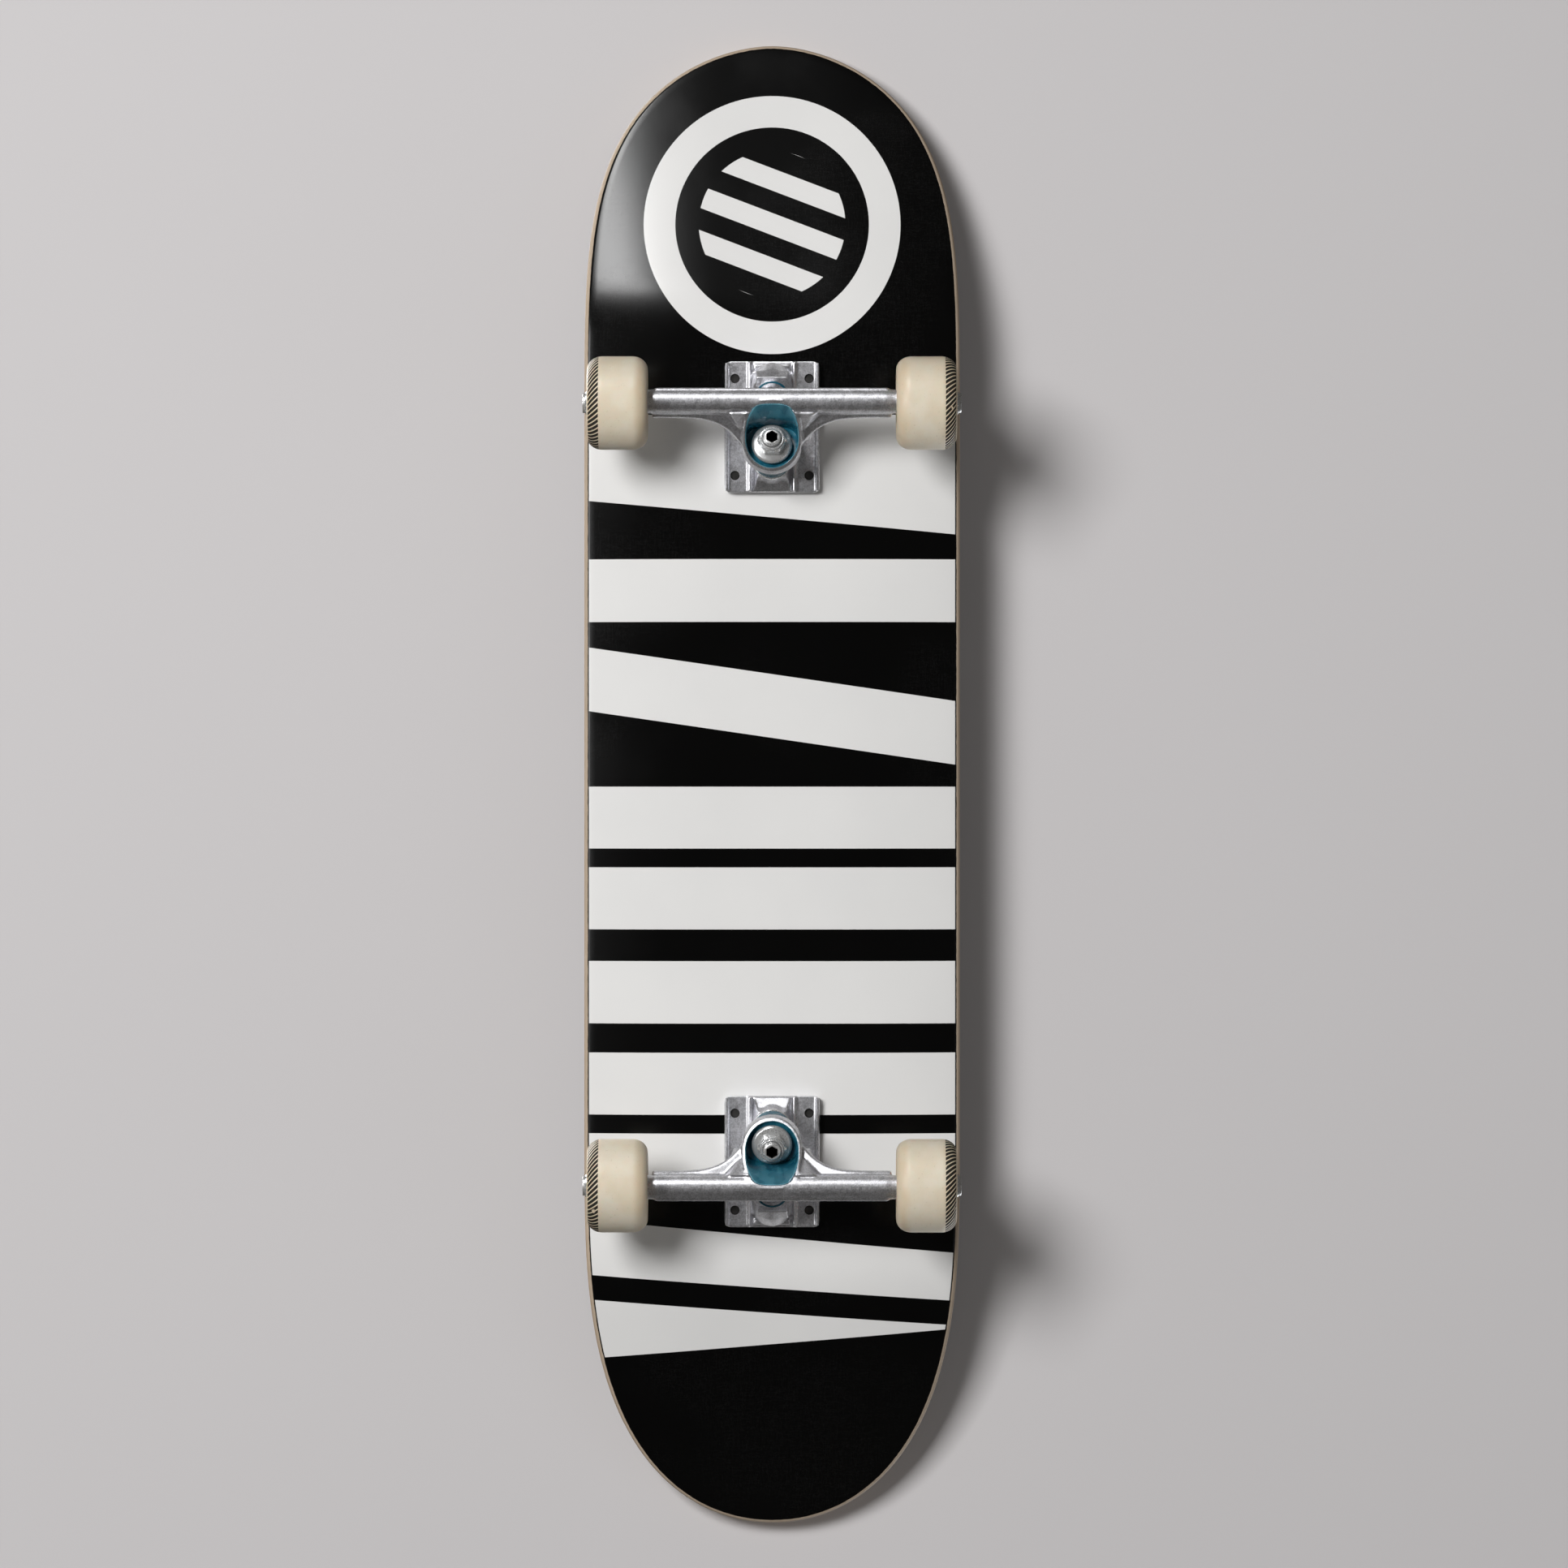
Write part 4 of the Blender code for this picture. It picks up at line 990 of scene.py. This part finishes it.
def makeHanger():
    half = hanger["narrowFrom"]
    bar = [(hanger["barRadius"], 0.0), (hanger["barRadius"] - 0.35, half - 3.0), (hanger["endRadius"], half),
           (hanger["endRadius"], hanger["end"])]
    profile = [(0, -hanger["end"])] + [(r, -y) for r, y in reversed(bar[1:])] + bar[1:] + [(0, hanger["end"])]
    shift = hanger["barShift"]
    bar = moved(turned(profile, 64), Matrix.Translation((shift, 0, 0)) @ axleFrame)
    # the parting ridge
    seam = block((axleX + 5.0, -half + 2, axleZ - 3.4), (axleX + shift + 7.5, half - 2, axleZ - 0.6))
    start, wall = hanger["ringStart"], hanger["rimWall"]
    boss = skin([[(0, 0, start)], seatRing(start, wall - hanger["footShrink"]), seatRing(36.5, wall - 0.3),
                 seatRing(rimLevel, wall), [(0, 0, rimLevel(0.0))]])
    ball = pivot["ball"]
    neck = [(0, -ball)] + [(ball * cos(a), -ball * sin(a)) for a in arcAngles(77, 0, 7)]
    neck += [(ball, pivot["mouth"]), (9.5, 26.0), (9.0, 33.0), (0, 33.0)]
    parts = [bar, seam, makeWeb(), moved(boss, kingpinFrame), moved(turned(neck, 48), pivotFrame)]
    for side in (1, -1):  # gussets from the seat's wall down to the web
        outline = [(-9.0, -37.5), (axleX - 6.0, axleZ + 2.0), (axleX - 6.0, axleZ - 5.2), (-4.0, -47.0)]
        parts.append(prism(outline, side * 12.0, [side * reach for reach in (21.5, 27.0, 23.0, 17.5)]))
    made = cast(parts, hanger["voxel"], hanger["smoothing"])
    made.materials.append(castAluminium)
    levels = [hanger["seatFloor"], 45.0, 57.0, 59.0, 61.0, 63.0, 65.0, 67.0, 70.0]
    tools = [
        skin([[(0, 0, levels[0])]] + [seatRing(level, 0.0) for level in levels] + [[(0, 0, levels[-1])]]),
        cylinder(hanger["holeRadius"], 20.0, 40.0, 64),
    ]
    tools = [moved(tool, kingpinFrame) for tool in tools]
    reach = hanger["end"] + 2.0
    tools.append(moved(cylinder(hanger["axleBore"], -reach, reach), axleFrame))
    for tool in tools:
        tool.materials.append(machinedAluminium)
        made = carved(made, tool)
    return made


def makeBaseplate():
    half = base["length"] / 2
    low, high = -touchGap - base["thickness"], -touchGap
    corner = base["corner"]
    outline = []
    for middleX, middleY, first in ((1, 1, 0), (-1, 1, 90), (-1, -1, 180), (1, -1, 270)):
        for angle in arcAngles(first, first + 90, 4):
            outline.append((middleX * (half - corner) + corner * cos(angle),
                            middleY * (base["width"] / 2 - corner) + corner * sin(angle)))
    parts = [prism(outline, low, high, "Z")]
    for side in (1, -1):
        parts.append(block((-half + 1.0, side * 25.2 - 0.8, low - 0.9),
                           (half - 1.0, side * 25.2 + 0.8, high - 1)))
        parts.append(block((-half + 0.6, side * 12.4 - 0.8, low - 2.2),
                           (half - 0.6, side * 12.4 + 0.8, high - 1)))
    mouth = pivotMiddle + pivotDown * pivot["mouth"]
    outerLip = mouth + pivotSide * pivot["housing"]
    innerLip = mouth - pivotSide * pivot["housing"]
    foot = Vector((kingpin["foot"], 0, 0))
    bossOut = foot + road * kingpin["bossEnd"] + sideways * kingpin["bossRadius"]
    bossIn = foot + road * kingpin["bossEnd"] - sideways * kingpin["bossRadius"]
    top = low + 2.0
    outline = [(half - 6.5, top), (half - 6.5, -9.6), (outerLip.x + 4.0, outerLip.z + 7.0),
               (outerLip.x, outerLip.z), (innerLip.x, innerLip.z), (bossOut.x, bossOut.z),
               (bossIn.x + 1.5, bossIn.z), (bossIn.x - 0.2, -10.6), (-half + 0.5, -6.9), (-half + 0.5, top)]
    widths = (11.0, 9.6, 9.2, 8.6, 9.6, 10.4, 7.4, 8.6, 10.8, 11.0)
    parts.append(prism(outline, [-w for w in widths], list(widths)))
    # the ledge at the outboard end
    parts.append(block((half - 4.4, -10.0, low - 1.6), (half - 1.6, 10.0, high - 1)))
    parts.append(moved(cylinder(kingpin["bossRadius"], 6.0, kingpin["bossEnd"], 64), kingpinFrame))
    shell = [(0, -8.4), (10.2, -8.4), (pivot["housing"], 0.0), (pivot["housing"], pivot["mouth"]),
             (0, pivot["mouth"])]
    parts.append(moved(turned(shell, 64), pivotFrame))
    made = cast(parts, base["voxel"], base["smoothing"])
    lid = block((-half - 5, -40, high), (half + 5, 40, 20))  # keeps the face on the deck flat
    made.materials.append(castAluminium)
    tools = [lid,
             moved(cylinder(kingpin["headHole"], -5, 8.9), kingpinFrame),
             moved(cylinder(kingpin["bore"], 0, 16), kingpinFrame),
             moved(cylinder(pivot["cupHole"], -7.9, 14, 64), pivotFrame)]
    for sideX in (1, -1):
        for sideY in (1, -1):
            spot = (sideX * boltPattern[0] / 2, sideY * boltPattern[1] / 2, 0)
            tools.append(moved(cylinder(deck["boltHole"], -12, 2, 32), Matrix.Translation(spot)))
    for tool in tools:
        tool.materials.append(machinedAluminium)
        made = carved(made, tool)
    return made


def makeKingpin():
    k = kingpin
    body = rounded([(0, k["headStart"]), (k["headRadius"], k["headStart"]), (k["headRadius"], k["headEnd"]),
                    (k["radius"], k["headEnd"]), (k["radius"], k["tip"] - 0.5), (k["radius"] - 0.8, k["tip"]),
                    (0, k["tip"])], 0.3)
    socket = cylinder(k["socketFlats"] / 2 / cos(pi / 6), k["tip"] - k["socketDepth"], k["tip"] + 1, 6)
    bolt = turned(body, 64)
    bolt.materials.append(zincSteel)
    # painted shade: the socket's walls take the black steel material so that the hole looks dark
    socket.materials.append(blackSteel)
    made = carved(bolt, socket)
    ridge = thread(k["radius"] - 0.1, 1.25, k["nutEnd"] - 1.0, k["tip"] - 0.6)
    return moved(joined([made, ridge]), kingpinFrame)


def cupWasher(radius, flat, lip, side):
    # a dished washer whose rolled lip holds the cushion
    back, bore = flat + 1.2, kingpin["bore"]
    if side > 0:
        points = [(bore, flat), (radius - 1.0, flat), (radius, flat + 0.7), (radius, lip),
                  (radius - 0.9, lip), (radius - 0.9, back + 0.2), (radius - 1.6, back), (bore, back)]
    else:
        points = [(bore, back + 0.1), (radius - 3.6, back + 0.1), (radius - 1.0, back - 0.5),
                  (radius, back - 1.6), (radius, lip), (radius - 0.9, lip), (radius - 0.9, back - 1.8),
                  (radius - 2.0, flat), (bore, flat)]
    return moved(turned(rounded(points, 0.45), 96), kingpinFrame)


def makeRoadCushion():
    # fills the squared seat, dips round the washer and leaves room for its lip
    c = cushion
    low, floor = c["roadStart"], c["floor"]

    def underRim(offset):
        return rimLevel(offset) - 0.9

    def cleared(ring):
        made = []
        for (x, y, z), angle in zip(ring, seatAngles):
            radius = Vector((x, y)).length
            wanted = max(radius, min(c["lipRoom"], seatRadius(angle, seatReach(z), -0.1)))
            made.append((x * wanted / radius, y * wanted / radius, z))
        return made

    rings = [[(c["lowBore"] * cos(a), c["lowBore"] * sin(a), low) for a in seatAngles], seatRing(low, -0.04)]
    rings += [seatRing(underRim, -0.04), cleared(seatRing(lambda offset: underRim(offset) + 0.2, -0.3)),
              cleared(seatRing(lambda offset: underRim(offset) + 0.1, -c["wall"]))]
    for share in (0.8, 0.6, 0.4, 0.2, 0.0):  # down the wall to the dish
        def wallLevel(offset, share=share):
            return floor + 0.6 + (max(underRim(offset), floor + 0.8) - floor - 0.6) * share
        rings.append(cleared(seatRing(wallLevel, -c["wall"] - 0.2 * (1 - share))))
    rings.append(seatRing(floor, -c["wall"] - 1.2))
    rings.append([(c["highBore"] * cos(a), c["highBore"] * sin(a), floor) for a in seatAngles])
    return moved(skin(rings, closed=True), kingpinFrame)


def makeRoadCone():
    # the top of the same cushion, which sits against the washer; it is attached to neither the hanger nor the
    # board
    c = cushion
    start, end = c["floor"] + 0.3, c["roadEnd"]
    points = [(c["highBore"] - 0.6, start), (9.7, start), (9.6, end), (kingpin["bore"], end)]
    return moved(turned(rounded(points, 0.5), 72), kingpinFrame)


def makeBoardCushion():
    c = cushion
    radius, start, end = c["boardRadius"], c["boardStart"], c["boardEnd"]
    points = [(kingpin["bore"], start), (9.4, start), (9.4, start + 2.0), (radius, start + 3.4),
              (radius - 0.5, (start + end) / 2 + 1), (radius, end - 1.6), (radius - 1.0, end),
              (c["lowBore"] + 0.4, end)]
    return moved(turned(rounded(points, 1.2), 72), kingpinFrame)


def makePivotCup():
    ball = pivot["ball"] + touchGap
    radius, floor, lip = pivot["cupRadius"], -pivot["cupFloor"], pivot["mouth"] + 0.4
    mouth = pivot["mouthRadius"] + 0.3
    points = [(0, floor), (radius, floor), (radius, lip), (mouth, lip), (ball + 0.1, 0.6)]
    points += [(ball * cos(a), -ball * sin(a)) for a in arcAngles(15, 75, 4)] + [(0, -ball)]
    return moved(turned(rounded(points, 0.5), 64), pivotFrame)


def makeTrucks():
    castHanger, castBase = makeHanger(), makeBaseplate()
    print("castings ready")
    k = kingpin
    shared = {
        "kingpin": (makeKingpin(), "board", zincSteel, 30.0),
        "kingpin_nut": (moved(hexNut(k["nutFlats"], k["nutStart"], k["nutEnd"] - 1.6, 5.1, 1.6, 6.5),
                              kingpinFrame),
                        "board", zincSteel, 30.0),
        "cup_washer_board": (cupWasher(*washer["board"]), "board", zincSteel, 38.0),
        "cup_washer_road": (cupWasher(*washer["road"]), "board", zincSteel, 38.0),
        "bushing_board": (makeBoardCushion(), "squeezed", tealUrethane, 38.0),
        "bushing_road": (makeRoadCushion(), "truck", tealUrethane, 50.0),
        "pivot_cup": (makePivotCup(), "board", tealUrethane, 38.0),
        "hanger": (castHanger, "truck", castAluminium, 34.0),
        "baseplate": (castBase, "board", castAluminium, 34.0),
    }
    cone = makeRoadCone()
    for end in ends:
        toRow, truck = truckMatrix(end), "truck_" + end
        levels = [toRow @ kingpinFrame @ Vector((0, 0, level)) for level in (17.6, 29.0, 42.6, 45.6)]
        rides = {"board": "board", "truck": truck, "squeezed": ("board", truck, levels[0], levels[1])}
        for name, (mesh, body, material, sharp) in shared.items():
            piece(f"{name}_{end}_fine", moved(mesh, toRow), rides[body], material, [f"{name}_{end}"], sharp)
        bends = (truck, "board", levels[2], levels[3])
        piece(f"bushing_top_{end}", moved(cone, toRow), bends, tealUrethane)
    print("trucks ready")


# axles, wheels and bearings; a wheel set is drawn about the wheel's middle with +Z outboard

axle = {"radius": 3.97, "tipRadius": 3.2, "length": 209.0, "nutFlats": 12.7, "nutStart": 13.5, "nutEnd": 19.1}
wheel = {"radius": boxSize("wheel_front_left").z / mm / 2, "width": 33.5, "tread": 16.5, "side": 18.5,
         "bore": 11.15, "land": 9.5, "landHalf": 5.1, "spacer": 5.57, "segments": 160}
bearing = {"radius": 11.0, "width": 7.0, "middle": 8.9, "inner": 6.0, "bore": 4.37, "shield": 9.3}
speedWasher = {"bore": 4.3, "radius": 6.7, "thickness": 0.6, "starts": (12.55, -13.15)}


def wheelProfile():
    half, tread = wheel["width"] / 2, wheel["tread"] / 2
    bulge = wheel["radius"] - wheel["side"]
    outer = [(wheel["side"] + bulge * cos(a), tread + (half - tread) * sin(a)) for a in arcAngles(0, 90, 18)]
    outer += [(18.1, half), (17.6, half - 0.35), (14.4, half - 0.8), (13.9, half - 0.5), (13.3, half - 0.5),
              (12.9, half - 1.0), (wheel["bore"] + 0.2, half - 3.0), (wheel["bore"], half - 3.4),
              (wheel["bore"], wheel["landHalf"]), (wheel["land"], wheel["landHalf"])]
    return outer


def makeWheelMeshes():
    outer = wheelProfile()
    # the tread comes first, so that the turned map counts from the middle of the tread outboard
    profile = [(wheel["radius"], 0.0)] + outer + [(r, -z) for r, z in reversed(outer)]
    tyre = turned(profile, wheel["segments"])
    girth = sum((Vector(a) - Vector(b)).length for a, b in zip(profile, profile[1:] + profile[:1]))
    b = bearing
    half = b["width"] / 2
    race = rounded([(b["radius"], -half), (b["radius"], half), (9.7, half), (9.55, half - 0.45),
                    (b["shield"], half - 0.5), (8.9, half - 0.25), (6.9, half - 0.25), (6.5, half - 0.55),
                    (6.5, half - 0.9), (9.2, half - 0.9), (9.4, -half + 0.9), (6.5, -half + 0.9),
                    (6.5, -half + 0.3), (9.4, -half + 0.3), (9.7, -half)], 0.18)
    outerRace = turned(race, 96)
    innerRace = turned(ringProfile(b["bore"], b["inner"], -half, half, 0.35), 72)
    return tyre, outerRace, innerRace, girth


def makeRolling():
    tyre, outerRace, innerRace, girth = makeWheelMeshes()
    creamUrethane = urethaneCream(wheel["tread"] / 2, girth)
    land = wheel["landHalf"]
    spacer = turned(ringProfile(bearing["bore"], wheel["spacer"], -land, land), 48)
    nut = hexNut(axle["nutFlats"], axle["nutStart"], axle["nutEnd"] - 1.5, 4.2, 1.5, 5.6)
    s = speedWasher
    washers = [turned(ringProfile(s["bore"], s["radius"], start, start + s["thickness"], 0.15), 64)
               for start in s["starts"]]
    half = axle["length"] / 2
    body, tip = axle["radius"] - 0.12, axle["tipRadius"]
    outline = [(0, -half), (tip, -half), (body, 0.8 - half), (body, half - 0.8), (tip, half), (0, half)]
    rod = turned(rounded(outline, 0.2), 48)
    for end in ends:
        truck = "truck_" + end
        middle = Matrix.Translation(boxMiddle("axle_" + end)) @ toMetres @ Matrix.Rotation(-pi / 2, 4, "X")
        ridges = [thread(axle["radius"] - 0.15, 1.0, half - 9.0, half - 0.9)]
        ridges.append(moved(ridges[0], Matrix.Rotation(pi, 4, "X")))
        piece(f"axle_{end}_fine", moved(joined([rod] + ridges), middle), truck, zincSteel, [f"axle_{end}"])
        for hand in hands:
            place = wheelMatrix(end, hand)
            key = f"{end}_{hand}"
            rolls = "wheel_" + key
            sides = [Matrix.Translation((0, 0, bearing["middle"])),
                     Matrix.Translation((0, 0, -bearing["middle"])) @ Matrix.Rotation(pi, 4, "X")]
            shields, sleeves = ([moved(race, side) for side in sides] for race in (outerRace, innerRace))
            outerNodes, innerNodes = ([f"bearing_{race}_race_{key}_{seat}" for seat in seats]
                                      for race in ("outer", "inner"))
            for name, mesh, body, material, nodes, sharp in (
                ("tyre", tyre, rolls, creamUrethane, [f"wheel_{key}"], 38.0),
                ("bearing_shields", joined(shields), rolls, bearingSteel, outerNodes, 38.0),
                ("bearing_sleeves", joined(sleeves), truck, zincSteel, innerNodes, 38.0),
                ("spacer", spacer, truck, zincSteel, [f"bearing_spacer_{key}"], 38.0),
                ("speed_washers", joined(washers), truck, zincSteel, (), 38.0),
                ("axle_locknut", nut, truck, zincSteel, [f"axle_nut_{key}"], 30.0),
            ):
                piece(f"{name}_{key}", moved(mesh, place), body, material, nodes, sharp)
    print("wheels, bearings and axles ready")


# stage, lights and camera

view = {"distance": 5.0, "acrossOffset": 0.00665, "frameHeight": 0.8742, "lampTarget": Vector((0, 0, 0.06)),
        "floor": (0.80, 0.80, 0.80), "backdrop": (0.62, 0.61, 0.63), "air": (0.84, 0.81, 0.77, 1.0),
        "airStrength": 0.15, "glossyDrop": 0.06}
lightPlan = (
    # name, place, size, watts, color, what it must not light
    ("keyBelow", (1.05, -1.50, -3.4), (1.3, 1.3), 137.0, (1.0, 0.985, 0.96), "glossy"),
    ("fillBelow", (-1.5, 3.6, -2.6), (2.6, 2.6), 8.0, (0.97, 0.98, 1.0), None),
    ("stripBelow", (2.42, -0.95, -2.0), (0.40, 1.0), 60.0, (1.0, 1.0, 1.0), "diffuse"),
    ("sideBelow", (0.6, -2.7, -2.8), (1.4, 1.4), 75.0, (1.0, 1.0, 1.0), "diffuse"),
    ("keyAbove", (1.6, -2.2, 3.0), (2.0, 2.0), 150.0, (1.0, 0.985, 0.96), None),
    ("fillAbove", (-2.4, 1.8, 2.4), (2.8, 2.8), 70.0, (0.96, 0.98, 1.0), None),
)


def stageMaterial(name, color):
    # shows only to the camera and only from its front, so it never stands in the way of the lights
    made = bpy.data.materials.new(name)
    made.use_nodes = True
    tree = made.node_tree
    tree.nodes.clear()
    rays = addNode(tree, "ShaderNodeLightPath")
    shape = addNode(tree, "ShaderNodeNewGeometry")
    seen = Field(tree, rays.outputs["Is Camera Ray"]) * (1.0 - Field(tree, shape.outputs["Backfacing"]))
    where = addNode(tree, "ShaderNodeTexCoord")
    tone = noise(tree, where.outputs["Object"], 3.0, 4.0)
    paper = addNode(tree, "ShaderNodeBsdfDiffuse",
                    {"Color": mixColors(tree, tone, tuple(v * 0.985 for v in color), color)})
    clear = addNode(tree, "ShaderNodeBsdfTransparent")
    mix = addNode(tree, "ShaderNodeMixShader", {0: seen, 1: clear.outputs[0], 2: paper.outputs[0]})
    addNode(tree, "ShaderNodeOutputMaterial", {"Surface": mix.outputs[0]})
    return made


def makeStage():
    top = cadBox[1][2]
    for name, height, facing, color in (("floor", -0.0002, 1, view["floor"]),
                                        ("backdrop", top + 0.002, -1, view["backdrop"])):
        corners = [(-9, -9, height), (9, -9, height), (9, 9, height), (-9, 9, height)]
        mesh = bpy.data.meshes.new(name)
        mesh.from_pydata(corners, [], [tuple(range(4)) if facing > 0 else (3, 2, 1, 0)])
        mesh.materials.append(stageMaterial(name + "Paper", color))
        newObject(name, mesh)
    world = bpy.data.worlds.new("paleRoom")
    world.use_nodes = True
    tree = world.node_tree
    rays = addNode(tree, "ShaderNodeLightPath")
    glossy = Field(tree, rays.outputs["Is Glossy Ray"])
    air = tree.nodes["Background"]
    air.inputs["Color"].default_value = view["air"]
    strength = view["airStrength"] - glossy * view["glossyDrop"]  # reflections see a darker room
    tree.links.new(strength.socket, air.inputs["Strength"])
    bpy.context.scene.world = world
    for name, place, size, watts, color, spared in lightPlan:
        lamp = bpy.data.lights.new(name, "AREA")
        lamp.shape = "RECTANGLE"
        lamp.size, lamp.size_y = size
        lamp.energy = watts
        lamp.color = color
        made = newObject(name, lamp)
        made.location = place
        made.rotation_euler = (view["lampTarget"] - Vector(place)).to_track_quat("-Z", "Y").to_euler()
        made.visible_camera = False
        made.visible_glossy = spared != "glossy"
        made.visible_diffuse = spared != "diffuse"


def makeCamera():
    lens = bpy.data.cameras.new("camera")
    lens.sensor_width = 36.0
    lens.lens = lens.sensor_width * view["distance"] / view["frameHeight"]
    lens.clip_end = 100.0
    made = newObject("camera", lens)
    # looks straight up at the underside
    right, up, back = Vector((0, 1, 0)), Vector((1, 0, 0)), Vector((0, 0, -1))
    turn = Matrix((right, up, back)).transposed().to_4x4()
    place = (0, view["acrossOffset"], deckUnderside * mm - view["distance"])
    made.matrix_world = Matrix.Translation(place) @ turn
    bpy.context.scene.camera = made
    bpy.context.scene.view_settings.view_transform = "Standard"


makeCamera()
makeStage()
makeDeck()
makeMountingBolts()
makeTrucks()
makeRolling()
